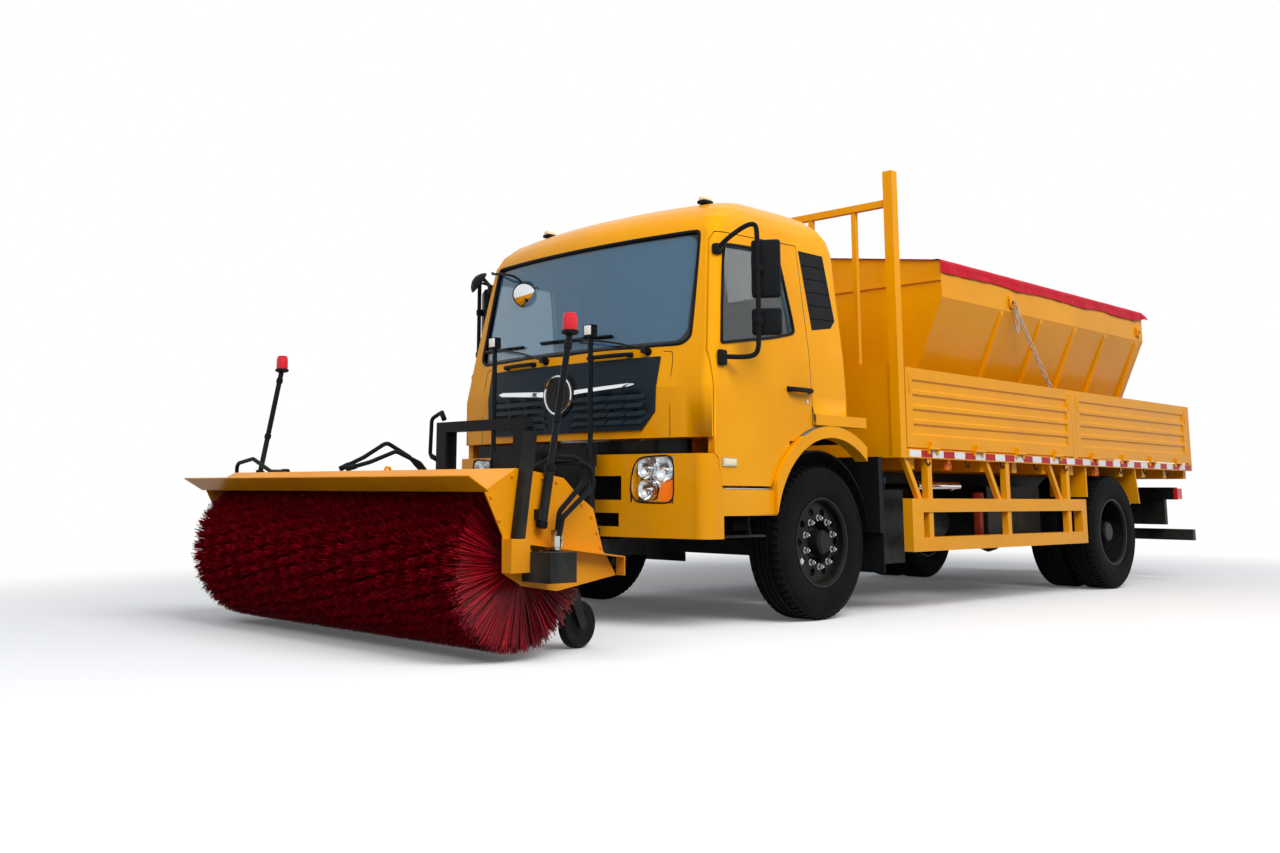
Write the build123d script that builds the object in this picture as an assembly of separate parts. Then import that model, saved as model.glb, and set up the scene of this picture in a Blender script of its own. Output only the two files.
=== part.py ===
from build123d import *
import math
import os

# Gritter truck: an 18 t two-axle lorry with a drop-side bed, a salt hopper
# on the bed and a rotary snow brush on the nose. Millimetres. While it is
# drawn, X = 0 is the front axle, +X the nose, +Y the driver's left, Z = 0 the
# road. Each piece is moved by FRAME_SHIFT when it is written, so that the
# stored origin lies on the road under the middle of the whole machine.

os.makedirs("parts", exist_ok=True)

# Running gear
WHEELBASE = 4443
TYRE_R = 508
TYRE_WIDTH = 275
BEAD_R = 286
RIM_WALL = 14
TWIN_GAP = 42
FRONT_TYRE_OUT = 1138
REAR_TYRE_OUT = 1232
AXLE_Z = TYRE_R
HUB_R = 112
KINGPIN_Y = 800
KINGPIN_R = 22
RUNNING = 0.05
SEAT = 0.3

# Chassis
RAIL_IN = 355
RAIL_OUT = 430
RAIL_BOTTOM = 700
RAIL_TOP = 950
RAIL_FRONT = 1240
RAIL_REAR = -6300
RAIL_WALL = 12

# Cab
CAB_REAR = -290
CAB_WALL = 50
CAB_FLOOR = 1165
DOOR_GAP = 6
GLASS = 8

# Bed
BED_HALF = 1250
BED_FRONT = -897
BED_REAR = -6400
SILL_BOTTOM = 1090
SILL_TOP = 1155
BOARD_BOTTOM = 1166
BOARD_TOP = 1746
BOARD_THICK = 34
POST = 66
HEADBOARD_TOP = 3200

# Hopper
HOPPER_FRONT = -1750
HOPPER_REAR = -5728
HOPPER_HALF = 1100
HOPPER_EDGE = 2670
HOPPER_RIDGE = 2835
HOPPER_BAND = 2380
HOPPER_FOOT_HALF = 590
HOPPER_FOOT = 1195
HOPPER_WALL = 12

# Brush head
BRUSH_X = 2861
BRUSH_Z = 468
BRISTLE_R = 436
CORE_R = 130
BRISTLE_HALF = 1290
PLATE_Y = 1400
PLATE_THICK = 8
HOOD_THICK = 6
LIP_HALF = 1440
PIVOT_X = 1600
PIVOT_Z = 620
SWING_X = 1850
CASTER_X = 2320
CASTER_Y = 1100
CASTER_R = 125

# The whole machine runs from the brush's lip to the spinner disc.
NOSE = 3300
SPINNER_X = -6620
SPINNER_R = 300
TAIL = SPINNER_X - SPINNER_R
FRAME_SHIFT = -(NOSE + TAIL) / 2

SIDES = (("left", 1), ("right", -1))


def block(x0, x1, y0, y1, z0, z1):
    """A box between two values on each axis."""
    middle = ((x0 + x1) / 2, (y0 + y1) / 2, (z0 + z1) / 2)
    return Pos(*middle) * Box(abs(x1 - x0), abs(y1 - y0), abs(z1 - z0))


def side_plate(outline, y0, y1):
    """A plate whose outline is a list of (x, z), from y0 to y1."""
    wire = Polyline([(x, y0, z) for x, z in outline], close=True)
    return extrude(make_face(wire), amount=y1 - y0, dir=(0, 1, 0))


def cross_plate(outline, x0, x1):
    """A plate whose outline is a list of (y, z), from x0 to x1."""
    wire = Polyline([(x0, y, z) for y, z in outline], close=True)
    return extrude(make_face(wire), amount=x1 - x0, dir=(1, 0, 0))


def rod_y(x, z, r, y0, y1):
    """A round bar along Y."""
    return Pos(x, (y0 + y1) / 2, z) * Rot(90, 0, 0) * Cylinder(r, abs(y1 - y0))


def rod_x(y, z, r, x0, x1):
    """A round bar along X."""
    return Pos((x0 + x1) / 2, y, z) * Rot(0, 90, 0) * Cylinder(r, abs(x1 - x0))


def rod_z(x, y, r, z0, z1):
    """A round bar along Z."""
    return Pos(x, y, (z0 + z1) / 2) * Cylinder(r, abs(z1 - z0))


def bar(start, end, r):
    """A round bar between any two points."""
    a, b = Vector(*start), Vector(*end)
    plane = Plane(origin=a, z_dir=b - a)
    return extrude(plane * Circle(r), amount=(b - a).length)


def pipe(route, bends, r):
    """A pipe along straight runs joined by tangent arcs."""
    path = FilletPolyline(*route, radius=bends)
    start = Plane(origin=path @ 0, z_dir=path % 0)
    return sweep(start * Circle(r), path=path)


def spun_y(profile, x, z):
    """A body of revolution about a Y axis; the profile is (radius, y)."""
    wire = Polyline([(x + r, y, z) for r, y in profile], close=True)
    return revolve(make_face(wire), axis=Axis((x, 0, z), (0, 1, 0)))


def other_side(shape):
    return mirror(shape, about=Plane.XZ)


def both(shape):
    return shape + other_side(shape)


def side_of(shape, sign):
    return shape if sign > 0 else other_side(shape)


def store(name, shape):
    """Write one piece in the stored frame."""
    moved = Pos(FRAME_SHIFT, 0, 0) * shape
    moved.label = name
    export_step(moved, f"parts/{name}.step")


# Chassis frame: two channel rails, their cross members and the subframe.
def rail():
    outer = block(RAIL_REAR, RAIL_FRONT, RAIL_IN, RAIL_OUT, RAIL_BOTTOM, RAIL_TOP)
    inner = block(RAIL_REAR, RAIL_FRONT, RAIL_IN, RAIL_OUT - RAIL_WALL,
                  RAIL_BOTTOM + RAIL_WALL, RAIL_TOP - RAIL_WALL)
    return outer - inner


CROSS_MEMBERS = (1150, -1060, -2300, -3600, -5300, -6240)
CROSS_HALF = 45
CAB_MOUNTS = (1060, -200)
BUMPER_NOSE = 1405
BUMPER_WALL = 60

frame = both(rail())
for x in CROSS_MEMBERS:
    frame += block(x - CROSS_HALF, x + CROSS_HALF, -RAIL_OUT + RAIL_WALL,
                   RAIL_OUT - RAIL_WALL, RAIL_BOTTOM + 120, RAIL_TOP - 40)
SUBFRAME_TOP = 1010
frame += both(block(RAIL_REAR, BED_FRONT - 60, RAIL_IN, RAIL_OUT, RAIL_TOP, SUBFRAME_TOP))
for x in CAB_MOUNTS:
    frame += both(block(x - 40, x + 40, RAIL_IN, RAIL_OUT, RAIL_TOP, CAB_FLOOR))
frame += both(block(RAIL_FRONT - 1, BUMPER_NOSE - BUMPER_WALL - 20.5, RAIL_IN, RAIL_OUT - 5,
                    RAIL_BOTTOM + 5, RAIL_BOTTOM + 75))
store("chassis_frame", frame)

# Front axle: a dropped I-beam whose fork ends hold the king pins.
BEAM_HALF = 45
BEAM_BOTTOM = 400
BEAM_TOP = 500
EYE_BOTTOM = 438
EYE_TOP = 578
EYE_R = 48
beam = cross_plate([(-560, BEAM_BOTTOM), (560, BEAM_BOTTOM), (KINGPIN_Y - 60, EYE_BOTTOM),
                    (KINGPIN_Y, EYE_BOTTOM),
                    (KINGPIN_Y, EYE_TOP), (540, BEAM_TOP), (-540, BEAM_TOP),
                    (-KINGPIN_Y, EYE_TOP), (-KINGPIN_Y, EYE_BOTTOM),
                    (60 - KINGPIN_Y, EYE_BOTTOM)],
                   -BEAM_HALF, BEAM_HALF)
for side, sign in SIDES:
    beam += rod_z(0, sign * KINGPIN_Y, EYE_R, EYE_BOTTOM, EYE_TOP)
    beam -= rod_z(0, sign * KINGPIN_Y, KINGPIN_R + RUNNING, EYE_BOTTOM, EYE_TOP)
store("front_axle_beam", beam)

# Knuckles: a fork over the beam's eye, its king pin and the wheel spindle.
SPINDLE_R = 38
FORK_GAP = 1
FORK_THICK = 44
for side, sign in SIDES:
    low = EYE_BOTTOM - FORK_GAP
    high = EYE_TOP + FORK_GAP
    fork = rod_z(0, KINGPIN_Y, EYE_R, low - FORK_THICK, low)
    fork += rod_z(0, KINGPIN_Y, EYE_R, high, high + FORK_THICK)
    fork += rod_z(0, KINGPIN_Y, KINGPIN_R, low - FORK_THICK, high + FORK_THICK)
    web = block(-EYE_R, EYE_R, KINGPIN_Y, KINGPIN_Y + 90, low - FORK_THICK, high + FORK_THICK)
    web -= block(-EYE_R, EYE_R, KINGPIN_Y - 1, KINGPIN_Y + EYE_R + 6, low, high)
    fork += web
    fork += rod_y(0, AXLE_Z, SPINDLE_R, KINGPIN_Y + 80, 1120)
    store(f"knuckle_{side}", side_of(fork, sign))


# Tyres: a closed ring with flat tread, rounded shoulders and bulged walls.
def tyre(outer_face):
    middle = outer_face - TYRE_WIDTH / 2
    half = TYRE_WIDTH / 2
    profile = [(BEAD_R, -half + 28), (BEAD_R + 40, -half + 8), (BEAD_R + 100, -half),
               (TYRE_R - 62, -half + 6), (TYRE_R - 14, -half + 22), (TYRE_R, -half + 48)]
    ring = profile + [(r, -y) for r, y in reversed(profile)]
    return spun_y([(r, middle + y) for r, y in ring], 0, AXLE_Z)


# Rims: a drop-centre barrel, a dished disc with hand holes and the hub.
HAND_HOLES = 10
HAND_HOLE_R = 26
HAND_HOLE_PCD = 205


def barrel(outer_face):
    outer = outer_face - 20
    inner = outer_face - TYRE_WIDTH + 20
    r = BEAD_R - SEAT
    wall = RIM_WALL
    lip = 11
    profile = [(r + lip, outer + 6), (r, outer - 8), (r, inner + 8), (r + lip, inner - 6),
               (r - wall + lip, inner - 6), (r - wall, inner + 12),
               (r - wall, outer - 12), (r - wall + lip, outer + 6)]
    return spun_y(profile, 0, AXLE_Z)


def hand_holes(y0, y1):
    holes = []
    for index in range(HAND_HOLES):
        turn = 2 * math.pi * index / HAND_HOLES
        holes.append(rod_y(HAND_HOLE_PCD * math.cos(turn), AXLE_Z + HAND_HOLE_PCD * math.sin(turn),
                           HAND_HOLE_R, y0, y1))
    return holes


def front_rim():
    barrel_r = BEAD_R - SEAT - RIM_WALL + 1
    disc = spun_y([(SPINDLE_R + RUNNING, 1030), (120, 1030), (150, 1088), (barrel_r, 1072),
                   (barrel_r, 1060), (158, 1074), (136, 1018), (SPINDLE_R + RUNNING, 960)],
                  0, AXLE_Z)
    for hole in hand_holes(1050, 1100):
        disc -= hole
    hub = spun_y([(SPINDLE_R + RUNNING, 900), (HUB_R - 20, 900), (HUB_R, 1000), (HUB_R, 1042),
                  (84, 1060), (78, 1130), (62, 1146), (0, 1146), (0, 1122),
                  (SPINDLE_R + RUNNING, 1122)], 0, AXLE_Z)
    return barrel(FRONT_TYRE_OUT) + disc + hub


REAR_INNER_OUT = REAR_TYRE_OUT - TYRE_WIDTH - TWIN_GAP
AXLE_TUBE_R = 62


def rear_rim():
    outer_disc = spun_y([(HUB_R - 1, 985), (150, 985), (190, 1010),
                         (BEAD_R - RIM_WALL, 1000), (BEAD_R - RIM_WALL, 1012), (186, 1024),
                         (144, 997), (HUB_R - 1, 997)], 0, AXLE_Z)
    inner_disc = spun_y([(HUB_R - 1, 972), (150, 972), (200, 890),
                         (BEAD_R - RIM_WALL, 880), (BEAD_R - RIM_WALL, 892), (208, 900),
                         (150, 984), (HUB_R - 1, 984)], 0, AXLE_Z)
    for hole in hand_holes(990, 1040):
        outer_disc -= hole
    hub = spun_y([(AXLE_TUBE_R + RUNNING, 700), (HUB_R, 700), (HUB_R, 1040), (98, 1070),
                  (90, 1165), (76, 1178), (0, 1178), (0, 1110), (AXLE_TUBE_R + RUNNING, 1110)],
                 0, AXLE_Z)
    rim = barrel(REAR_TYRE_OUT) + barrel(REAR_INNER_OUT) + outer_disc + inner_disc + hub
    return rim


REAR_AXLE = Pos(-WHEELBASE, 0, 0)
for side, sign in SIDES:
    store(f"front_tyre_{side}", side_of(tyre(FRONT_TYRE_OUT), sign))
    store(f"front_rim_{side}", side_of(front_rim(), sign))
    twin = tyre(REAR_TYRE_OUT) + tyre(REAR_INNER_OUT)
    store(f"rear_tyres_{side}", side_of(REAR_AXLE * twin, sign))
    store(f"rear_rims_{side}", side_of(REAR_AXLE * rear_rim(), sign))

# Rear axle: a banjo casing round the differential, with round tubes.
casing = spun_y([(0, -150), (90, -140), (205, -60), (225, 0), (205, 60), (90, 140), (0, 150)],
                0, AXLE_Z)
casing += block(-75, 75, -560, 560, AXLE_Z - 62, AXLE_Z + 62)
casing += rod_y(0, AXLE_Z, AXLE_TUBE_R, -1105, 1105)
casing += rod_x(0, AXLE_Z, 95, 150, 330)
store("rear_axle_casing", REAR_AXLE * casing)

# Leaf springs: tapered packs under the rails, with hangers at both ends.
SPRING_HALF_WIDTH = 37
SPRING_MIDDLE = (RAIL_IN + RAIL_OUT) / 2


def spring(x, half_length, seat_z, stack):
    y0, y1 = SPRING_MIDDLE - SPRING_HALF_WIDTH, SPRING_MIDDLE + SPRING_HALF_WIDTH
    end_z = RAIL_BOTTOM - 78
    outline = [(-half_length, end_z - 9), (-150, seat_z), (150, seat_z),
               (half_length, end_z - 9), (half_length, end_z + 9), (150, seat_z + stack),
               (-150, seat_z + stack), (-half_length, end_z + 9)]
    pack = side_plate([(x + px, pz) for px, pz in outline], y0, y1)
    for end in (-half_length, half_length):
        hanger = [(x + end - 55, RAIL_BOTTOM), (x + end + 55, RAIL_BOTTOM),
                  (x + end + 26, end_z - 22), (x + end - 26, end_z - 22)]
        pack += side_plate(hanger, y0, y1)
    return pack


springs = both(spring(0, 700, BEAM_TOP, 64)) + both(spring(-WHEELBASE, 760, AXLE_Z + 62, 88))
store("leaf_springs", springs)

# Engine: one plain block on its mounts between the rails, and the drive line.
ENGINE_REAR = -250
engine = block(ENGINE_REAR, 820, -300, 300, 640, 1130)
engine += block(250, 330, RAIL_WALL - RAIL_OUT, RAIL_OUT - RAIL_WALL, 800, 860)
GEARBOX_REAR = -950
engine += block(GEARBOX_REAR, ENGINE_REAR + 1, -190, 190, 620, 960)
shaft = bar((GEARBOX_REAR + 5, 0, 760), (-WHEELBASE + 330, 0, AXLE_Z), 55)
engine += shaft - block(-WHEELBASE, -WHEELBASE + 330 + SEAT, -99, 99, 400, 620)
store("engine_and_shaft", engine)

# Tanks and boxes bolted to the outside of the rails.
tanks = block(-1230, -790, RAIL_OUT, 1000, 330, 862)
tanks += rod_z(-1080, 900, 38, 862, 940)
tanks += rod_x(880, 898, 32, -2270, -1634) + block(-2010, -1890, RAIL_OUT, 900, 880, 916)
tanks += rod_x(610, 610, 140, -2350, -1560) + block(-2010, -1890, RAIL_OUT, 560, 700, 760)
tanks += block(-3500, -2560, RAIL_OUT, 980, 430, 900)
tanks += block(-2350, -1000, -1010, -RAIL_OUT, 380, 900)
tanks += block(-3350, -2560, -940, -RAIL_OUT, 430, 860)
store("chassis_tanks", tanks)

# Cab outline at rising heights. Columns: height, nose at the middle, how far
# the nose falls back at its corner, half width, corner radius, back.
CAB_SECTIONS = (
    (CAB_FLOOR, 1350, 110, 1178, 70, CAB_REAR),
    (1480, 1352, 112, 1184, 74, CAB_REAR),
    (1760, 1300, 112, 1172, 84, CAB_REAR),
    (2500, 1152, 96, 1096, 96, CAB_REAR),
    (2590, 1112, 100, 1076, 120, CAB_REAR + 4),
    (2670, 1030, 104, 1030, 150, CAB_REAR + 20),
    (2735, 900, 96, 958, 180, CAB_REAR + 60),
    (2785, 740, 84, 860, 200, CAB_REAR + 130),
    (2820, 590, 70, 735, 200, CAB_REAR + 220),
    (2838, 450, 50, 580, 170, CAB_REAR + 290),
)
ROOF_LINE = 2500


def cab_section(row, inset):
    height, nose, fall, half, corner, back = row
    crown = max(height - ROOF_LINE, 0) / (CAB_SECTIONS[-1][0] - ROOF_LINE)
    height -= inset * crown
    x = nose - inset
    w = half - inset
    r = max(corner - inset, 20)
    b = back + inset
    rear_r = r
    k = math.sqrt(0.5)
    front_corner = Vector(x - fall, w - r, height)
    corner_mid = Vector(x - fall - r + k * r, w - r + k * r, height)
    side_start = Vector(x - fall - r, w, height)
    rear_side = Vector(b + rear_r, w, height)
    rear_mid = Vector(b + rear_r - k * rear_r, w - rear_r + k * rear_r, height)
    rear_corner = Vector(b, w - rear_r, height)

    def flip(p):
        return Vector(p.X, -p.Y, p.Z)

    edges = [
        ThreePointArc(flip(front_corner), Vector(x, 0, height), front_corner),
        ThreePointArc(front_corner, corner_mid, side_start),
        Line(side_start, rear_side),
        ThreePointArc(rear_side, rear_mid, rear_corner),
        Line(rear_corner, flip(rear_corner)),
        ThreePointArc(flip(rear_corner), flip(rear_mid), flip(rear_side)),
        Line(flip(rear_side), flip(side_start)),
        ThreePointArc(flip(side_start), flip(corner_mid), flip(front_corner)),
    ]
    return make_face(Wire(edges))


def cab_body(inset):
    """The cab's closed form, moved in by a wall, as a stack of short lofts."""
    solid = None
    for low, high in zip(CAB_SECTIONS, CAB_SECTIONS[1:]):
        part = loft([cab_section(low, inset), cab_section(high, inset)], ruled=True)
        solid = part if solid is None else solid + part
    return solid


CAB_OUTER = cab_body(0)
CAB_INNER = cab_body(CAB_WALL) - block(-2000, 2000, -2000, 2000, 0, CAB_FLOOR + 40)

# Door leaf seen from the side, as (x, z).
DOOR_REAR = 160
ARCH_X = -30
ARCH_Z = 560
ARCH_R = 640
ARCH_BAND = 78
STEP_FRONT = 1120
DOOR_BOTTOM = 866
DOOR_IN = 1012


def door_prism(gap):
    """The door's outline as a thick block across one side, less the arch."""
    outline = [(1150, 1040), (1188, 1066), (1192, 1700), (1060, 2430), (1030, 2478),
               (190, 2502), (DOOR_REAR, 1326), (DOOR_REAR, DOOR_BOTTOM),
               (STEP_FRONT, DOOR_BOTTOM)]
    if gap:
        outline = offset_outline(outline, gap)
    prism = side_plate(outline, DOOR_IN, 1300)
    return prism - rod_y(ARCH_X, ARCH_Z, ARCH_R + ARCH_BAND + gap, 800, 1400)


def offset_outline(points, gap):
    """Move each side of a closed outline inwards by the gap."""
    turn = sum(a[0] * b[1] - b[0] * a[1] for a, b in zip(points, points[1:] + points[:1]))
    inward = math.copysign(gap, turn)
    moved = []
    for before, here, after in zip(points[-1:] + points[:-1], points, points[1:] + points[:1]):
        a = Vector(here[0] - before[0], here[1] - before[1]).normalized()
        b = Vector(after[0] - here[0], after[1] - here[1]).normalized()
        normal = Vector(-a.Y - b.Y, a.X + b.X).normalized()
        reach = inward / (normal.X * -a.Y + normal.Y * a.X)
        moved.append((here[0] + normal.X * reach, here[1] + normal.Y * reach))
    return moved


WINDOW_OUTLINE = [(1100, 1752), (980, 2388), (420, 2420), (318, 1890), (600, 1822)]
QUARTER_OUTLINE = [(168, 2470), (-120, 2470), (-178, 2010), (-120, 1955), (110, 1920)]
SCREEN_OUTLINE = [(-1008, 1780), (-985, 2490), (985, 2490), (1008, 1780), (950, 1745),
                  (-950, 1745)]

body = CAB_OUTER - CAB_INNER
arch_cut = rod_y(ARCH_X, ARCH_Z, ARCH_R, 700, 1400)
window = side_plate(WINDOW_OUTLINE, 900, 1300)
quarter = side_plate(QUARTER_OUTLINE, 900, 1300)
screen = cross_plate(SCREEN_OUTLINE, 850, 1500)
leaf = cab_body(0) - cab_body(CAB_WALL)
skirt = block(STEP_FRONT - 700, STEP_FRONT + 60, 1128, 1178, DOOR_BOTTOM - 20, CAB_FLOOR)
door_wall = (leaf + skirt) & door_prism(DOOR_GAP)
for cutter in (both(door_prism(0)), both(arch_cut), both(quarter), screen):
    body -= cutter
band = rod_y(ARCH_X, ARCH_Z, ARCH_R + ARCH_BAND, 1110, 1208) - rod_y(ARCH_X, ARCH_Z, ARCH_R, 1100, 1210)
band &= block(-440, 600, 1100, 1210, 700, 1420)
band += block(-440, DOOR_REAR - 1, 1110, 1208, 1280, 1352) - arch_cut
step_wall = block(560, STEP_FRONT - 4, 900, 926, 700, CAB_FLOOR)
step_box = block(592, STEP_FRONT - 20, 926, 1176, 690, 716) + block(592, STEP_FRONT - 20, 1150, 1176, 716, 852)
step_ends = block(566, 592, 900, 1176, 690, 852)
lower = band + step_wall + step_box + step_ends
body += both(lower)
floor = block(CAB_REAR + CAB_WALL - 1, 1180, -1130, 1130, CAB_FLOOR, CAB_FLOOR + 40)
body += floor - both(door_prism(0)) - both(arch_cut)
store("cab_shell", body)

# Windscreen and side glass sit in their openings.
pane = cab_body(16) - cab_body(16 + GLASS)


def shrunk_cross(points, gap):
    return cross_plate(offset_outline(points, gap), 850, 1500)


def shrunk_side(points, gap):
    return side_plate(offset_outline(points, gap), 900, 1300)


store("windscreen", pane & shrunk_cross(SCREEN_OUTLINE, SEAT))
vents = (cab_body(4) - cab_body(24)) & shrunk_side(QUARTER_OUTLINE, SEAT)
for level in range(5):
    z = 2010 + level * 92
    vents -= side_plate([(-170, z), (160, z - 10), (160, z - 4), (-170, z + 6)], 1000, 1300) - cab_body(12)
store("quarter_vents", both(vents))
for side, sign in SIDES:
    store(f"door_{side}", side_of(door_wall - window, sign))
    store(f"door_glass_{side}", side_of(pane & shrunk_side(WINDOW_OUTLINE, SEAT), sign))

# Grille: a curved panel on the cab's nose, with four rows of louvres.
PANEL_PROUD = 16
PANEL_OUTLINE = [(-816, 1676), (-800, 1330), (-700, 1214), (700, 1214), (800, 1330), (816, 1676)]
grille = (cab_body(-PANEL_PROUD) - cab_body(-SEAT)) & cross_plate(PANEL_OUTLINE, 900, 1500)
LOUVRE_ROWS = 4
LOUVRES_EACH_SIDE = 3
LOUVRE_BACK = cab_body(-5)
for row in range(LOUVRE_ROWS):
    for column in range(LOUVRES_EACH_SIDE):
        y = 150 + column * 188 + (row % 2) * 20
        z = 1256 + row * 52
        slot = [(y, z), (y + 164, z), (y + 150, z + 34), (y + 14, z + 34)]
        grille -= both(cross_plate(slot, 1180, 1500) - LOUVRE_BACK)
store("grille_panel", grille)

# Bumper: one deep pressed cover wrapped round the nose to the wheel arch.
BUMPER_BOTTOM = 553
BUMPER_TOP = 1064
BUMPER_ENDS = 1110


def bumper_plan(inset, z0, z1):
    x = BUMPER_NOSE - inset
    w = 1186 - inset
    fall = 120
    r = 90 - min(inset, 60)
    k = math.sqrt(0.5)
    corner = Vector(x - fall, w - r, z0)
    mid = Vector(x - fall - r + k * r, w - r + k * r, z0)
    side = Vector(x - fall - r, w, z0)
    back = Vector(BUMPER_ENDS - inset, w, z0)

    def flip(p):
        return Vector(p.X, -p.Y, p.Z)

    edges = [ThreePointArc(flip(corner), Vector(x, 0, z0), corner),
             ThreePointArc(corner, mid, side), Line(side, back),
             Line(back, flip(back)), Line(flip(back), flip(side)),
             ThreePointArc(flip(side), flip(mid), flip(corner))]
    return extrude(make_face(Wire(edges)), amount=z1 - z0, dir=(0, 0, 1))


bumper = bumper_plan(0, BUMPER_BOTTOM, BUMPER_TOP) - bumper_plan(BUMPER_WALL, BUMPER_BOTTOM, BUMPER_TOP)
shoulder = [(1000, 860), (1122, 860), (1158, 1034), (1204, 1070), (1204, 1200), (1000, 1200)]
bumper -= side_plate(shoulder, -1300, 1300)
LAMP_OUTLINE = [(650, 772), (960, 762), (960, 1052), (716, 1040), (668, 960)]
bumper -= both(cross_plate(LAMP_OUTLINE, 1200, 1500))
for z0, z1, half in ((780, 930, 580), (615, 700, 560)):
    bumper -= block(1250, 1500, -half, half, z0, z1)
bumper += block(1180, 1230, -1000, 1000, 1040, 1155)
bumper += both(block(1180, 1330, 600, 640, 1030, 1060))
store("bumper", bumper)
lamp = (bumper_plan(4, 700, 1100) - bumper_plan(54, 700, 1100)) & cross_plate(
    offset_outline(LAMP_OUTLINE, SEAT), 1200, 1500)
store("headlamps", both(lamp))

# Inside the cab: the dashboard with the steering wheel, and two seats.
dash = side_plate([(930, CAB_FLOOR + 40), (1140, CAB_FLOOR + 40), (1140, 1690), (1100, 1740), (1000, 1730),
                   (880, 1640), (900, 1380)], -1010, 1010)
WHEEL_TILT = 32
WHEEL_MIDDLE = (740, 480, 1900)
tilted = Pos(*WHEEL_MIDDLE) * Rot(0, -WHEEL_TILT, 0)
wheel = tilted * Torus(215, 16) + tilted * Box(400, 36, 18)
wheel += bar(WHEEL_MIDDLE, (915, 480, 1620), 28)
store("dashboard", dash + wheel)
seat_side = [(130, 1205), (500, 1205), (540, 1540), (520, 1580), (230, 1570), (110, 2060),
             (130, 2330), (40, 2330), (0, 2040), (70, 1560)]
seats = side_plate(seat_side, 230, 760) + side_plate(seat_side, -860, -120)
store("seats", seats)

# Front wheel arch guards: a black liner over each wheel, and its flap.
LINER_R = 600
LINER_THICK = 10
LINER_IN = 640
LINER_OUT = 1100


def liner():
    ring = rod_y(0, AXLE_Z, LINER_R + LINER_THICK, LINER_IN, LINER_OUT)
    ring -= rod_y(0, AXLE_Z, LINER_R, LINER_IN - 1, LINER_OUT + 1)
    ring &= block(-700, 480, 0, 1300, AXLE_Z + 60, 1300)
    flap = block(-652, -604, LINER_IN, 1190, 285, 1090) - block(-640, -604, 0, 1300, 200, 560)
    stay = block(-652, -628, RAIL_OUT, LINER_IN, 900, 940)
    return ring + flap + stay


store("front_mudguards", both(liner()))


# Mirrors: two heads on a bent tube from the door's top to its waist.
def door_mirror():
    tube_r = 15
    route = [(1052, 1108, 2368), (1010, 1280, 2470), (960, 1352, 2480), (955, 1356, 1700),
             (1000, 1300, 1662), (1100, 1186, 1660)]
    arm = pipe(route, [60, 40, 60, 40], tube_r)
    upper = block(790, 950, 1290, 1440, 2030, 2400)
    lower = block(770, 950, 1290, 1440, 1800, 1960)
    mount = block(1070, 1150, 1180, 1204, 1600, 1700)
    return arm + upper + lower + mount


# Bed: floor, sills, cross bearers, middle and rear posts.
FLOOR_BOTTOM = 1110
BEARER_HALF = 35
platform = block(BED_REAR, BED_FRONT, -BED_HALF + 60, BED_HALF - 60, FLOOR_BOTTOM, SILL_TOP)
platform += both(block(BED_REAR, BED_FRONT, BED_HALF - 60, BED_HALF, SILL_BOTTOM, SILL_TOP))
BEARERS = [BED_FRONT - 150 - step * 530 for step in range(11)]
for x in BEARERS:
    platform += block(x - BEARER_HALF, x + BEARER_HALF, -BED_HALF + 60, BED_HALF - 60,
                      SUBFRAME_TOP, FLOOR_BOTTOM)
MIDDLE_POST = -3670
for x0 in (MIDDLE_POST - POST / 2, BED_REAR):
    platform += both(block(x0, x0 + POST, BED_HALF - 40, BED_HALF, SILL_TOP, BOARD_TOP))
BOARD_GAP = 5
BOARD_SPANS = (("front", BED_FRONT - BOARD_GAP, MIDDLE_POST + POST / 2 + BOARD_GAP),
               ("rear", MIDDLE_POST - POST / 2 - BOARD_GAP, BED_REAR + POST + BOARD_GAP))
LUGS_EACH = 4
LUG_HALF = 45
KNUCKLE_R = 11
KNUCKLE_LONG = 28
HINGE_PIN_R = 5
BOARD_PIVOT_Y = BED_HALF + 14
BOARD_PIVOT_Z = BOARD_BOTTOM - 4


def lug_places(x_front, x_rear):
    return [x_front + (x_rear - x_front) * (lug + 0.5) / LUGS_EACH for lug in range(LUGS_EACH)]


for span, x_front, x_rear in BOARD_SPANS:
    for x in lug_places(x_front, x_rear):
        hinge = rod_x(BOARD_PIVOT_Y, BOARD_PIVOT_Z, HINGE_PIN_R, x - LUG_HALF - KNUCKLE_LONG,
                      x + LUG_HALF + KNUCKLE_LONG)
        for x0 in (x - LUG_HALF - 1 - KNUCKLE_LONG, x + LUG_HALF + 1):
            hinge += rod_x(BOARD_PIVOT_Y, BOARD_PIVOT_Z, KNUCKLE_R, x0, x0 + KNUCKLE_LONG)
            hinge += block(x0, x0 + KNUCKLE_LONG, BED_HALF - 1, BOARD_PIVOT_Y, SILL_TOP - 30, SILL_TOP)
        platform += both(hinge)
flap_front = [(-3892, SUBFRAME_TOP + 60), (-3912, SUBFRAME_TOP + 60), (-3912, 820), (-3892, 820)]
flap_rear = [(-4965, 1100), (-4985, 1100), (-5060, 763), (-5040, 763)]
for flap in (flap_front, flap_rear):
    platform += both(side_plate(flap, 900, BED_HALF - 20))
platform += both(block(-3912, -3892, 900, BED_HALF - 20, SUBFRAME_TOP, 1100))
store("bed_platform", platform)

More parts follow.
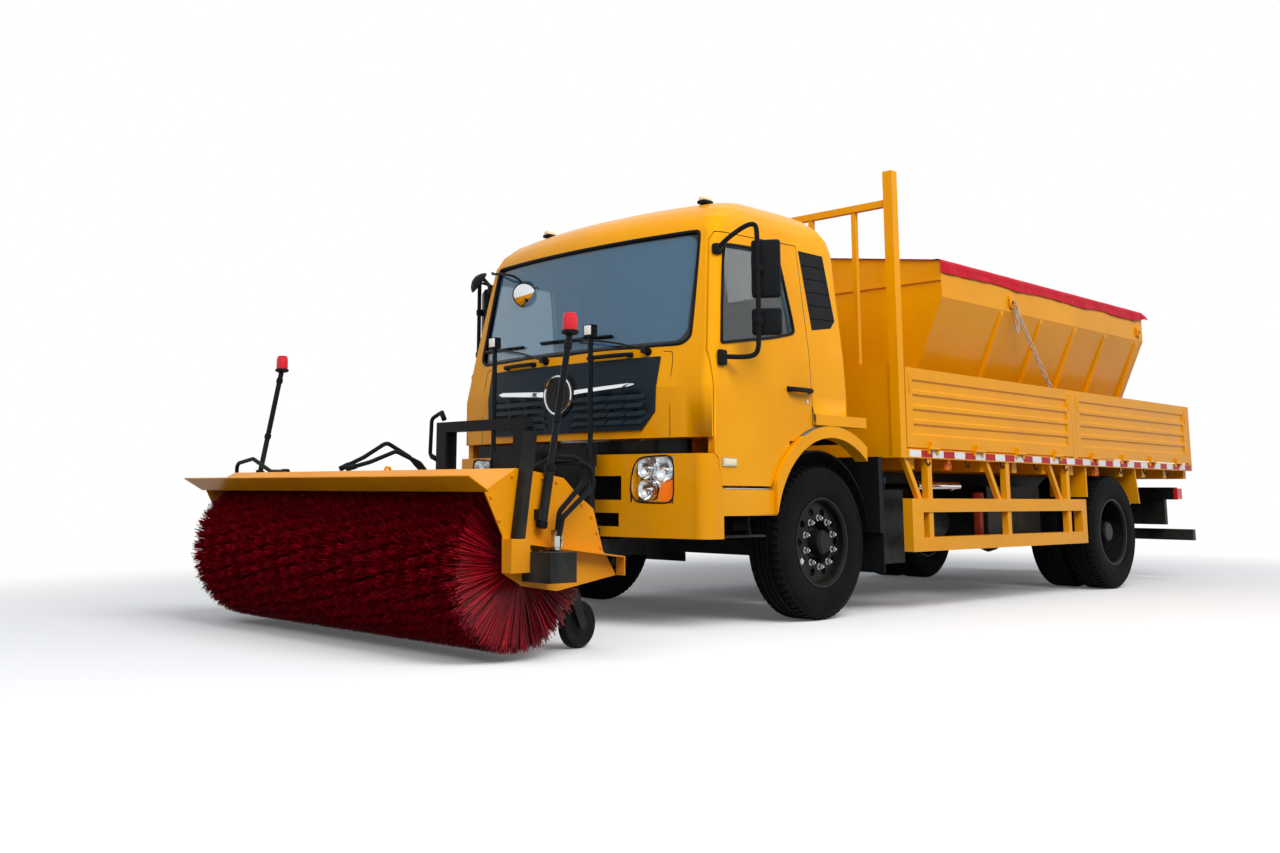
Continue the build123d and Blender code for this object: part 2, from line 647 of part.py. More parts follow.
# Headboard: two tall square posts, a top bar, balusters and a solid lower panel.
POST_FRONT = -812
HEAD_POST = 75
BALUSTERS = (-900, -513, 0, 513, 900)
PANEL_TOP = 1780
headboard = both(block(POST_FRONT - HEAD_POST, POST_FRONT, BED_HALF - HEAD_POST, BED_HALF,
                       SILL_BOTTOM, HEADBOARD_TOP))
head_mid = POST_FRONT - HEAD_POST / 2
headboard += block(head_mid - 25, head_mid + 25, -BED_HALF + 50, BED_HALF - 50, 2938, 2989)
headboard += block(head_mid - 20, head_mid + 20, -BED_HALF + 50, BED_HALF - 50, SILL_BOTTOM, PANEL_TOP)
for y in BALUSTERS:
    headboard += block(head_mid - 18, head_mid + 18, y - 18, y + 18, PANEL_TOP - 5, 2945)
headboard += both(block(BED_FRONT, POST_FRONT - HEAD_POST + 5, BED_HALF - 60, BED_HALF - 5,
                        SILL_BOTTOM, SILL_TOP))
store("headboard", headboard)

# Drop sides: pressed panels with four ribs, hinged on lugs along the sill.
BOARD_RIBS = 4


def board(x_front, x_rear):
    outer = BED_HALF
    inner = outer - BOARD_THICK
    panel = block(x_rear, x_front, inner, outer, BOARD_BOTTOM, BOARD_TOP)
    margin = 90
    pitch = (BOARD_TOP - BOARD_BOTTOM - 2 * margin + 30) / BOARD_RIBS
    for rib in range(BOARD_RIBS):
        z = BOARD_BOTTOM + margin + rib * pitch
        groove = cross_plate([(outer + 1, z), (outer + 1, z + 84), (outer - 12, z + 70),
                              (outer - 12, z + 14)], x_rear + margin, x_front - margin)
        panel -= groove
    for x in lug_places(x_front, x_rear):
        panel += block(x - LUG_HALF, x + LUG_HALF, outer - 4, BOARD_PIVOT_Y + 8, BOARD_PIVOT_Z,
                       BOARD_BOTTOM + 46)
        panel += rod_x(BOARD_PIVOT_Y, BOARD_PIVOT_Z, KNUCKLE_R, x - LUG_HALF, x + LUG_HALF)
        panel -= rod_x(BOARD_PIVOT_Y, BOARD_PIVOT_Z, HINGE_PIN_R + RUNNING, x - LUG_HALF - 1,
                       x + LUG_HALF + 1)
    return panel


for span, x_front, x_rear in BOARD_SPANS:
    for side, sign in SIDES:
        store(f"board_{side}_{span}", side_of(board(x_front, x_rear), sign))

# Side guards: folded channel frames under the bed, hung on posts and stays.
GUARD_FRONT = -935
GUARD_REAR = -3823
GUARD_BOTTOM = 424
GUARD_TOP = 800
GUARD_RAIL = 98
GUARD_DEPTH = 75
GUARD_POSTS = (-1207, -2413, -3505)


def guard():
    y0 = BED_HALF - GUARD_DEPTH
    frame_piece = block(GUARD_REAR, GUARD_FRONT, y0, BED_HALF, GUARD_BOTTOM, GUARD_TOP)
    frame_piece -= block(GUARD_REAR + 90, GUARD_FRONT - 150, y0 - 1, BED_HALF + 1,
                         GUARD_BOTTOM + GUARD_RAIL, GUARD_TOP - GUARD_RAIL)
    for z in (GUARD_BOTTOM + 14, GUARD_TOP - GUARD_RAIL + 14):
        frame_piece -= block(GUARD_REAR + 20, GUARD_FRONT - 60, y0 - 1, BED_HALF - 6, z, z + GUARD_RAIL - 28)
    for x in GUARD_POSTS:
        frame_piece += block(x - 30, x + 30, BED_HALF - 58, BED_HALF - 8, GUARD_BOTTOM + 10, SILL_BOTTOM)
        stay = side_plate([(x + 280, SILL_BOTTOM), (x + 330, SILL_BOTTOM), (x + 130, GUARD_TOP - 20),
                           (x + 80, GUARD_TOP - 20)], BED_HALF - 58, BED_HALF - 22)
        frame_piece += stay
    return frame_piece


store("side_guards", both(guard()))

# Rear bars: the lamp bar with its lamps, and the underrun bar on its brackets.
bars = block(-6400, -6300, -1090, 1090, 800, 925)
bars += both(block(-6380, -6320, 640, 985, 545, 800))
bars += both(block(-6460, -6345, RAIL_OUT, RAIL_OUT + 16, 450, 925))
bars += block(-6510, -6440, -1200, 1200, 389, 500)
store("rear_bars", bars)
LAMP_SIZE = 108
tail = block(-6410, -6290, 1090, 1130, 806, 806 + LAMP_SIZE)
store("tail_lamps", both(tail))


# Hopper: a V-shaped steel bin with a vertical band, gabled ends and ribs.
def hopper_profile(inset):
    """Half outline from ridge to foot, moved in by the wall, as (y, z)."""
    slope = inset * 1.09
    half = [(0, HOPPER_RIDGE), (HOPPER_HALF - inset, HOPPER_EDGE), (HOPPER_HALF - inset, HOPPER_BAND),
            (HOPPER_FOOT_HALF - slope, HOPPER_FOOT + inset)]
    return half + [(-y, z) for y, z in reversed(half[1:])]


HOPPER_MOUTH = HOPPER_HALF - 60
bin_outer = cross_plate(hopper_profile(0), HOPPER_REAR, HOPPER_FRONT)
bin_inner = cross_plate(hopper_profile(HOPPER_WALL), HOPPER_REAR + HOPPER_WALL, HOPPER_FRONT - HOPPER_WALL)
bin_top = block(HOPPER_REAR + HOPPER_WALL, HOPPER_FRONT - HOPPER_WALL, -HOPPER_MOUTH, HOPPER_MOUTH,
                HOPPER_EDGE - 60, HOPPER_RIDGE + 10)
hopper = bin_outer - bin_inner - bin_top
HOPPER_RIBS = (-2751, -3484, -4173, -4836, -5579)
RIB_HALF = 22
slope_y = (HOPPER_HALF - HOPPER_FOOT_HALF) / (HOPPER_BAND - HOPPER_FOOT)
for x in HOPPER_RIBS:
    rib = [(HOPPER_HALF - 4, HOPPER_BAND + 6), (HOPPER_HALF - 4, HOPPER_BAND - 40),
           (HOPPER_FOOT_HALF + 70, HOPPER_FOOT + 20), (HOPPER_FOOT_HALF + 10, HOPPER_FOOT + 6),
           (HOPPER_HALF - 12, HOPPER_BAND + 6)]
    hopper += both(cross_plate(rib, x - RIB_HALF, x + RIB_HALF))
skid = both(block(HOPPER_REAR, HOPPER_FRONT, 380, 460, SILL_TOP, HOPPER_FOOT))
hopper += skid
hopper += block(HOPPER_FRONT - 8, HOPPER_FRONT + 14, -HOPPER_HALF, HOPPER_HALF, 2512, 2530)
store("hopper", hopper)

# Tarp: a closed soft sheet that lies over the gabled top and hangs at the edges.
TARP_THICK = 14
TARP_OVER = 45
DROP = 70
tarp_top = HOPPER_RIDGE + SEAT + TARP_THICK
tarp_out = [(0, tarp_top), (HOPPER_HALF + TARP_OVER, HOPPER_EDGE + 8 + TARP_THICK),
            (HOPPER_HALF + TARP_OVER, HOPPER_EDGE - DROP), (HOPPER_HALF + TARP_OVER - TARP_THICK, HOPPER_EDGE - DROP),
            (HOPPER_HALF + TARP_OVER - TARP_THICK, HOPPER_EDGE + 6), (0, tarp_top - TARP_THICK)]
tarp_ring = tarp_out + [(-y, z) for y, z in reversed(tarp_out[1:-1])]
store("hopper_tarp", cross_plate(tarp_ring, HOPPER_REAR - 70, HOPPER_FRONT + 30))

# Lifting chain on the hopper's left side, between its eye and its foot.
CHAIN_PITCH = 51
LINK_HALF_WIDTH = 23
LINK_HALF_LENGTH = 40
LINK_ROD = 14
CHAIN_TOP = (-2905, HOPPER_HALF + 26, 2452)
CHAIN_LOW = (-4010, HOPPER_HALF + 64, SILL_TOP + 40)


def link():
    """One flat link with cut corners, along X, and thick along Z."""
    def ring(width, length, cut):
        corners = [(length - cut, width), (length, width - cut), (length, cut - width), (length - cut, -width)]
        loop = corners + [(-x, y) for x, y in reversed(corners)]
        return Polyline([(x, y, -LINK_ROD / 2) for x, y in loop], close=True)

    outer = make_face(ring(LINK_HALF_WIDTH, LINK_HALF_LENGTH, 12))
    inner = make_face(ring(LINK_HALF_WIDTH - LINK_ROD, LINK_HALF_LENGTH - LINK_ROD, 5))
    return extrude(outer - inner, amount=LINK_ROD, dir=(0, 0, 1))


chain_start, chain_end = Vector(*CHAIN_TOP), Vector(*CHAIN_LOW)
chain_line = (chain_end - chain_start).normalized()
chain_place = Plane(origin=chain_start, x_dir=chain_line, z_dir=chain_line.cross(Vector(0, 1, 0)))
link_count = int((chain_end - chain_start).length / CHAIN_PITCH)
links = [chain_place * (Pos(CHAIN_PITCH * (index + 0.5), 0, 0) * Rot(90 * (index % 2), 0, 0) * link())
         for index in range(link_count)]
links.append(block(-2925, -2885, HOPPER_HALF + SEAT, HOPPER_HALF + 46, 2440, 2466))
links.append(block(-4060, -4000, HOPPER_HALF + 40, HOPPER_HALF + 88, SILL_TOP + SEAT, SILL_TOP + 24))
store("lifting_chain", Compound(children=links))

# Spreader: the belt box, its chute and the spinner disc behind the bed.
CHUTE_HALF = 260
outlet = block(SPINNER_X - 130, HOPPER_REAR, -330, 330, SILL_TOP, 1500)
chute = cross_plate([(-CHUTE_HALF, 1160), (CHUTE_HALF, 1160), (150, 640), (-150, 640)],
                    SPINNER_X - 110, SPINNER_X + 90)
outlet += chute
motor = rod_z(SPINNER_X, 0, 60, 540, 660)
outlet += motor
outlet -= rod_z(SPINNER_X, 0, 16 + RUNNING, 500, 600)
store("spreader_outlet", outlet)
disc = rod_z(SPINNER_X, 0, SPINNER_R, 500, 508)
VANES = 6
for vane in range(VANES):
    blade = block(SPINNER_X + 70, SPINNER_X + SPINNER_R - 12, -4, 4, 507, 534)
    disc += Pos(SPINNER_X, 0, 0) * Rot(0, 0, 360 * vane / VANES) * Pos(-SPINNER_X, 0, 0) * blade
disc += rod_z(SPINNER_X, 0, 16, 500, 590)
store("spinner_disc", disc)

# Hitch: side plates under the bumper carry the mounting plate and lamp poles.
HITCH_Y = RAIL_OUT
HITCH_THICK = 25
PLATE_FRONT = 1556
PLATE_HIGH = 1100
hitch_side = side_plate([(780, 900), (780, 560), (1000, 430), (PLATE_FRONT, 430),
                         (PLATE_FRONT, PLATE_HIGH), (1480, PLATE_HIGH), (1480, 535), (1240, 535), (1240, 900)],
                        HITCH_Y, HITCH_Y + HITCH_THICK)
hitch = both(hitch_side)
hitch += block(1530, PLATE_FRONT, -HITCH_Y - 1, HITCH_Y + 1, 560, PLATE_HIGH)
hitch += block(1440, 1531, -HITCH_Y - 1, HITCH_Y + 1, 990, PLATE_HIGH)
PIN_R = 22
EAR_R = 46
ARM_Y = 250
ARM_THICK = 24
for y in (ARM_Y - 30, ARM_Y + ARM_THICK + 6):
    ear = side_plate([(PLATE_FRONT - 1, PIVOT_Z - EAR_R), (PIVOT_X, PIVOT_Z - EAR_R),
                      (PIVOT_X, PIVOT_Z + EAR_R), (PLATE_FRONT - 1, PIVOT_Z + EAR_R)], y, y + 24)
    hitch += both(ear + rod_y(PIVOT_X, PIVOT_Z, EAR_R, y, y + 24))
hitch += both(rod_y(PIVOT_X, PIVOT_Z, PIN_R, ARM_Y - 34, ARM_Y + ARM_THICK + 34))
RAM_TOP_X = 1600
RAM_TOP_Z = 1040
RAM_PIN_R = 16
RAM_EYE_HALF = 20
for y in (-46, 24):
    hitch += block(PLATE_FRONT - 1, RAM_TOP_X, y, y + 22, RAM_TOP_Z - 34, RAM_TOP_Z + 34)
    hitch += rod_y(RAM_TOP_X, RAM_TOP_Z, 34, y, y + 22)
hitch += rod_y(RAM_TOP_X, RAM_TOP_Z, RAM_PIN_R, -46, 46)
POLE_X = 1538
POLE_Y = 470
POLE_R = 17
hitch += both(rod_z(POLE_X, POLE_Y, POLE_R, 980, 1810) + rod_z(POLE_X, POLE_Y, 26, 700, 1040))
hitch += both(block(POLE_X - 22, POLE_X + 28, POLE_Y - 38, POLE_Y + 38, 1805, 1880))
store("hitch_mount", hitch)

# Lift arm: two cheek plates from the pivot to the swing housing.
HOUSING_R = 72
KING_R = 40
HOUSING_LOW = 530
HOUSING_HIGH = 880
CHEEK_R = 38
cheek = side_plate([(PIVOT_X, PIVOT_Z - CHEEK_R), (SWING_X - 60, 560), (SWING_X - 60, 820),
                    (PIVOT_X + 70, PIVOT_Z + 90), (PIVOT_X, PIVOT_Z + CHEEK_R)], ARM_Y, ARM_Y + ARM_THICK)
cheek += rod_y(PIVOT_X, PIVOT_Z, CHEEK_R, ARM_Y, ARM_Y + ARM_THICK)
arm = both(cheek)
arm += block(SWING_X - 100, SWING_X - 60, -ARM_Y - 1, ARM_Y + 1, 560, 820)
arm += rod_z(SWING_X, 0, HOUSING_R, HOUSING_LOW, HOUSING_HIGH)
arm += block(SWING_X - 100, SWING_X, -60, 60, 570, 810)
RAM_EYE_X = 1700
RAM_EYE_Z = 700
for y in (-46, 24):
    arm += block(RAM_EYE_X, SWING_X - 99, y, y + 22, RAM_EYE_Z - 30, RAM_EYE_Z + 30)
    arm += rod_y(RAM_EYE_X, RAM_EYE_Z, 30, y, y + 22)
arm += rod_y(RAM_EYE_X, RAM_EYE_Z, RAM_PIN_R, -46, 46)
arm -= rod_z(SWING_X, 0, KING_R + RUNNING, HOUSING_LOW - 1, HOUSING_HIGH + 1)
for sign in (-1, 1):
    y0, y1 = sorted((sign * (ARM_Y - 2), sign * (ARM_Y + ARM_THICK + 2)))
    arm -= rod_y(PIVOT_X, PIVOT_Z, PIN_R + RUNNING, y0, y1)
store("lift_arm", arm)

# Lift ram between the mounting plate and the arm; its lower eye has play.
ram_axis = Vector(RAM_EYE_X - RAM_TOP_X, 0, RAM_EYE_Z - RAM_TOP_Z)
ram_length = ram_axis.length
RAM_R = 32
RAM_ROD_R = 16
RAM_EYE_PLAY = 6
ram_plane = Plane(origin=(RAM_TOP_X, 0, RAM_TOP_Z), x_dir=(0, 1, 0), z_dir=ram_axis)
RAM_BARREL = 240
RAM_HEAD = 52
ram = ram_plane * (Pos(0, 0, (RAM_HEAD + RAM_BARREL) / 2) * Cylinder(RAM_R, RAM_BARREL - RAM_HEAD))
ram += rod_y(RAM_TOP_X, RAM_TOP_Z, 30, -RAM_EYE_HALF, RAM_EYE_HALF)
ram += ram_plane * (Pos(0, 0, RAM_HEAD / 2) * Box(2 * RAM_EYE_HALF, 44, RAM_HEAD + 2))
ram -= rod_y(RAM_TOP_X, RAM_TOP_Z, RAM_PIN_R + RUNNING, -30, 30)
ram -= ram_plane * (Pos(0, 0, 60 + 200) * Cylinder(RAM_ROD_R + RUNNING, 400))
store("lift_ram_barrel", ram)
ram_rod = ram_plane * (Pos(0, 0, (110 + ram_length - 24) / 2) * Cylinder(RAM_ROD_R, ram_length - 24 - 110))
ram_rod += rod_y(RAM_EYE_X, RAM_EYE_Z, 33, -RAM_EYE_HALF, RAM_EYE_HALF)
ram_rod -= rod_y(RAM_EYE_X, RAM_EYE_Z, RAM_PIN_R + RAM_EYE_PLAY, -30, 30)
store("lift_ram_rod", ram_rod)

# Swing frame: king pin, lugs, upright plates, the top beam and its struts.
UPRIGHT_X = 2000
BEAM_Z = 1237
swing = rod_z(SWING_X, 0, KING_R, HOUSING_LOW - 60, HOUSING_HIGH + 60)
for z0 in (HOUSING_LOW - 58, HOUSING_HIGH + 8):
    swing += rod_z(SWING_X, 0, 80, z0, z0 + 50)
    swing += block(SWING_X, UPRIGHT_X + 30, -80, 80, z0, z0 + 50)
swing += block(UPRIGHT_X, UPRIGHT_X + 30, -400, 400, 470, 960)
swing += both(block(UPRIGHT_X - 20, UPRIGHT_X + 60, 330, 430, 960, 1270))
swing += block(UPRIGHT_X, UPRIGHT_X + 60, -430, 430, BEAM_Z - 33, BEAM_Z + 33)
swing += both(block(UPRIGHT_X, UPRIGHT_X + 60, 330, 400, 900, 1000))
swing += both(block(UPRIGHT_X, UPRIGHT_X + 20, 290, 470, 940, 1215))
HOOD_BACK_X = 2365
swing += both(block(UPRIGHT_X + 29, HOOD_BACK_X, 330, 400, 560, 640))
CROSS_BEAM_HALF = 1300
BACK_LEAN = (2437 - HOOD_BACK_X) / (741 - 524)
CROSS_LOW = 560
CROSS_HIGH = 640
cross_line = [(HOOD_BACK_X - 80, CROSS_LOW), (HOOD_BACK_X + (CROSS_LOW - 524) * BACK_LEAN - SEAT, CROSS_LOW),
              (HOOD_BACK_X + (CROSS_HIGH - 524) * BACK_LEAN - SEAT, CROSS_HIGH),
              (HOOD_BACK_X - 80, CROSS_HIGH)]
swing += side_plate(cross_line, -CROSS_BEAM_HALF, CROSS_BEAM_HALF)
HOLDER_HALF = 38
swing += both(block(CASTER_X - HOLDER_HALF, CASTER_X + HOLDER_HALF, CASTER_Y - HOLDER_HALF,
                    CASTER_Y + HOLDER_HALF, 330, CROSS_LOW + 1))
STEM_R = 18
for side, sign in SIDES:
    swing -= rod_z(CASTER_X, sign * CASTER_Y, STEM_R + RUNNING, 320, 530)
store("swing_frame", swing)

# Hood: a folded sheet over the brush with a flared lip, and the end plates.
HOOD_LINE = [(NOSE, 900), (3170, 828), (2970, 938), (2848, 925), (2649, 895), (2553, 815),
             (2437, 741), (HOOD_BACK_X, 524)]
PLATE_LINE = HOOD_LINE[1:] + [(2340, 500), (2270, 400), (2690, 338), (2920, 372), (3047, 439), (3050, 613)]


def thick_line(points, thick):
    """The outline of a folded sheet that lies below and behind its line."""
    inner = []
    for index, (x, z) in enumerate(points):
        before = points[max(index - 1, 0)]
        after = points[min(index + 1, len(points) - 1)]
        turns = []
        for a, b in ((before, (x, z)), ((x, z), after)):
            length = math.dist(a, b)
            if length:
                turns.append(((b[1] - a[1]) / length, -(b[0] - a[0]) / length))
        nx = sum(t[0] for t in turns) / len(turns)
        nz = sum(t[1] for t in turns) / len(turns)
        scale = thick / (nx * nx + nz * nz)
        inner.append((x - nx * scale, z - nz * scale))
    return list(points) + inner[::-1]


hood = side_plate(thick_line(HOOD_LINE[1:], HOOD_THICK), -PLATE_Y + 1, PLATE_Y - 1)
hood += side_plate(thick_line(HOOD_LINE[:2], HOOD_THICK), -LIP_HALF, LIP_HALF)
end_plate = side_plate(PLATE_LINE, PLATE_Y - PLATE_THICK, PLATE_Y)
SHAFT_R = 30
end_plate += rod_y(BRUSH_X, BRUSH_Z, 95, PLATE_Y - 30, PLATE_Y)
shelf = side_plate([(2980, 583), (2980, 577), (2262, 492), (2262, 498)], PLATE_Y - 1, PLATE_Y + 60)
shelf += side_plate([(2268, 400), (2262, 400), (2262, 498), (2268, 498)], PLATE_Y - 1, PLATE_Y + 60)
end_plate += shelf
bracket = block(2926, 3046, PLATE_Y - 1, PLATE_Y + 60, 440, 600)
end_plate += bracket
end_plate -= rod_y(BRUSH_X, BRUSH_Z, SHAFT_R + RUNNING, PLATE_Y - 40, PLATE_Y + 1)
hood += both(end_plate)
EYE_PLATE = [(2700, 902), (2780, 914), (2755, 968), (2725, 966)]
hood += side_plate(EYE_PLATE, -8, 8) - rod_y(2742, 944, 12, -9, 9)
store("brush_hood", hood)

# Drive covers, stand tubes and beacon poles on the end plates.
cover = block(2748, 2925, PLATE_Y, 1600, 394, 538)
stand = side_plate([(2955, 600), (3005, 600), (2930, 1120), (2880, 1120)], PLATE_Y + 5, PLATE_Y + 55)
POLE_OUT = PLATE_Y + 27
pole_foot = (2824, POLE_OUT, 648)
pole_top = (2640, POLE_OUT, 1625)
pole = bar(pole_foot, pole_top, 17) + bar(pole_foot, (2770, POLE_OUT, 935), 24)
pole += block(2790, 2850, PLATE_Y, POLE_OUT + 10, 690, 740)
fittings = both(cover) + stand + both(pole)
store("brush_fittings", fittings)
beacon = rod_z(2636, POLE_OUT, 46, 1629, 1650) + rod_z(2636, POLE_OUT, 38, 1650, 1740)
store("beacon_lamps", both(beacon))

# Hydraulic hoses of the brush, each with a crimped fitting at both ends.
HOSE_R = 13
CRIMP_R = 17
CRIMP_LONG = 62
PLATE_FACE = UPRIGHT_X + 30 + SEAT
COVER_TOP = 538 + SEAT


def hood_top(x):
    """Height just over the hood's top at one x, between its first two folds."""
    return 925 + (x - 2848) * (938 - 925) / (2970 - 2848) + HOSE_R + SEAT


# Columns: bend radius, points from one fitting to the other.
HOSES = (
    (50, ((2770, 1290, hood_top(2770) + 4), (2700, 1380, 1000), (2590, 1452, 1000), (2560, 1462, 880),
          (2735, 1462, 730), (2766, 1462, COVER_TOP))),
    (50, ((2720, 1250, hood_top(2720) + 4), (2660, 1350, 975), (2560, 1496, 965), (2530, 1500, 860),
          (2750, 1500, 700), (2790, 1500, COVER_TOP))),
    (50, ((2790, -430, hood_top(2790) + 24), (2640, -400, 1030), (2490, -375, 1125), (2320, -365, 1040),
          (2130, -345, 860), (PLATE_FACE, -330, 850))),
    (50, ((2790, -360, hood_top(2790) + 24), (2640, -330, 1000), (2470, -300, 1070), (2300, -280, 1000),
          (2130, -250, 800), (PLATE_FACE, -240, 790))),
    (50, ((2872, -900, hood_top(2872) + 2), (2876, -1100, hood_top(2872) + 4), (2880, -1330, 1030),
          (2880, -1545, 1000), (2850, -1560, 700), (2850, -1540, COVER_TOP))),
    (36, ((UPRIGHT_X + 20, -400, 1290), (UPRIGHT_X + 22, -430, 1340), (UPRIGHT_X + 24, -530, 1300),
          (UPRIGHT_X + 24, -540, 1060), (UPRIGHT_X + 10, -470 - SEAT, 1030))),
)
hoses = []
for bend, route in HOSES:
    hose = pipe(route, bend, HOSE_R)
    for tip, behind in ((route[0], route[1]), (route[-1], route[-2])):
        run = (Vector(*behind) - Vector(*tip)).normalized() * CRIMP_LONG
        hose += bar(tip, Vector(*tip) + run, CRIMP_R)
    trimmed = hose - swing - hood - fittings
    hoses.append(max(trimmed.solids(), key=lambda solid: solid.volume))
store("brush_hoses", Compound(children=hoses))

# Rotor: a steel core with its shafts, and rings of bristle round it.
core = rod_y(BRUSH_X, BRUSH_Z, CORE_R, -BRISTLE_HALF - 20, BRISTLE_HALF + 20)
core += both(rod_y(BRUSH_X, BRUSH_Z, 215, BRISTLE_HALF + 2, BRISTLE_HALF + 20))
core += rod_y(BRUSH_X, BRUSH_Z, SHAFT_R, -PLATE_Y, PLATE_Y)
store("brush_core", core)
BRISTLE_RINGS = 18
BRISTLE_DIP = 14
ring_width = 2 * BRISTLE_HALF / BRISTLE_RINGS
bristle_line = [(CORE_R + SEAT, -BRISTLE_HALF)]
for ring in range(BRISTLE_RINGS):
    y = -BRISTLE_HALF + ring * ring_width
    bristle_line += [(BRISTLE_R - BRISTLE_DIP, y), (BRISTLE_R, y + ring_width / 2)]
bristle_line += [(BRISTLE_R - BRISTLE_DIP, BRISTLE_HALF), (CORE_R + SEAT, BRISTLE_HALF)]
store("brush_bristles", spun_y(bristle_line, BRUSH_X, BRUSH_Z))

# Castors behind the brush: a swivel fork and its wheel on each side.
CASTER_TRAIL = 60
CASTER_PIN_R = 10
for side, sign in SIDES:
    axle_x = CASTER_X - CASTER_TRAIL
    fork = rod_z(CASTER_X, CASTER_Y, STEM_R, 300, 520) + rod_z(CASTER_X, CASTER_Y, 45, 290, 305)
    for y in (CASTER_Y - 46, CASTER_Y + 36):
        cheek = side_plate([(CASTER_X + 40, 290), (CASTER_X - 40, 290), (axle_x - 22, CASTER_R),
                            (axle_x + 22, CASTER_R)], y, y + 10)
        fork += cheek + rod_y(axle_x, CASTER_R, 22, y, y + 10)
    fork += block(CASTER_X - 40, CASTER_X + 40, CASTER_Y - 46, CASTER_Y + 46, 280, 292)
    fork += rod_y(axle_x, CASTER_R, CASTER_PIN_R, CASTER_Y - 46, CASTER_Y + 46)
    store(f"caster_fork_{side}", side_of(fork, sign))
    roll = spun_y([(CASTER_PIN_R + RUNNING, CASTER_Y - 26), (40, CASTER_Y - 26), (60, CASTER_Y - 20),
                   (CASTER_R - 16, CASTER_Y - 28), (CASTER_R, CASTER_Y - 14), (CASTER_R, CASTER_Y + 14),
                   (CASTER_R - 16, CASTER_Y + 28), (60, CASTER_Y + 20), (40, CASTER_Y + 26),
                   (CASTER_PIN_R + RUNNING, CASTER_Y + 26)], axle_x, CASTER_R)
    store(f"caster_wheel_{side}", side_of(roll, sign))
for side, sign in SIDES:
    store(f"mirror_{side}", side_of(door_mirror(), sign))
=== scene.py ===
import math
import random

import bmesh
import bpy
from mathutils import Matrix, Vector
from mathutils.bvhtree import BVHTree


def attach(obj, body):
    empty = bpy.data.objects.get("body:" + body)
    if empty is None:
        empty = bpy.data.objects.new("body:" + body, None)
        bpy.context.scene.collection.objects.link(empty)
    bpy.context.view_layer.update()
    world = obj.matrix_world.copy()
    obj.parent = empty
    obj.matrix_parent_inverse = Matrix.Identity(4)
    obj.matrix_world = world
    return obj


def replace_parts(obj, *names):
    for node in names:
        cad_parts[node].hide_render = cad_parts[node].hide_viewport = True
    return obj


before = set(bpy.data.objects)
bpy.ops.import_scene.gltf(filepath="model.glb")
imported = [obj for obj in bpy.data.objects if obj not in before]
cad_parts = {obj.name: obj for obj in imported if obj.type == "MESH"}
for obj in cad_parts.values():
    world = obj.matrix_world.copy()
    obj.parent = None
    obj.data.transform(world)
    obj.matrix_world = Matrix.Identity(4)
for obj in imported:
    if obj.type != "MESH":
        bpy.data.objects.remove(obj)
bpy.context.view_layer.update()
view = bpy.context.scene
view.view_settings.view_transform = "Standard"

# Camera: low, ahead of the left front corner, looking slightly upwards.
# Its place and lens were fitted to the tyres, the bed edge and the cab.
eye = bpy.data.cameras.new("camera")
eye.sensor_width = 36
eye.lens = 33.79
eye.shift_x = 0.0643
eye.shift_y = -0.0922
eye.clip_end = 200
camera = bpy.data.objects.new("camera", eye)
view.collection.objects.link(camera)
view.camera = camera
YAW, PITCH, ROLL = 0.817, 0.153, 0.007
ahead = Vector((-math.cos(YAW) * math.cos(PITCH), -math.sin(YAW) * math.cos(PITCH), math.sin(PITCH)))
level_right = ahead.cross(Vector((0, 0, 1))).normalized()
level_up = level_right.cross(ahead)
right = level_right * math.cos(ROLL) + level_up * math.sin(ROLL)
up = level_up * math.cos(ROLL) - level_right * math.sin(ROLL)
EYE_PLACE = (8.6908, 5.8547, 0.8160)
camera.matrix_world = Matrix.Translation(EYE_PLACE) @ Matrix((right, up, -ahead)).transposed().to_4x4()


# Studio: a pale floor that keeps the truck's shadow, under a pale sky.
# Large soft lamps stand over the left side and the nose.
def hex_colour(code):
    """sRGB hex to a linear colour."""
    parts = [int(code[i:i + 2], 16) / 255 for i in (0, 2, 4)]
    return tuple(p / 12.92 if p <= 0.04045 else ((p + 0.055) / 1.055) ** 2.4 for p in parts) + (1,)


def add(tree, kind, links=None, **settings):
    """Add one shader node; links sets or connects its inputs by name or number."""
    made = tree.nodes.new(kind)
    for name, value in settings.items():
        setattr(made, name, value)
    for name, value in (links or {}).items():
        if isinstance(value, bpy.types.NodeSocket):
            tree.links.new(value, made.inputs[name])
        else:
            made.inputs[name].default_value = value
    return made


def new_finish(name):
    made = bpy.data.materials.new(name)
    made.use_nodes = True
    made.node_tree.nodes.clear()
    return made, made.node_tree


def looked_at(tree):
    """1 where the camera, a gloss or a pane looks at the backdrop, 0 where it only lights the object."""
    rays = add(tree, "ShaderNodeLightPath").outputs
    seen = add(tree, "ShaderNodeMath", {0: rays["Is Camera Ray"], 1: rays["Is Glossy Ray"]},
               operation="MAXIMUM")
    return add(tree, "ShaderNodeMath", {0: seen.outputs[0], 1: rays["Is Transmission Ray"]},
               operation="MAXIMUM").outputs[0]


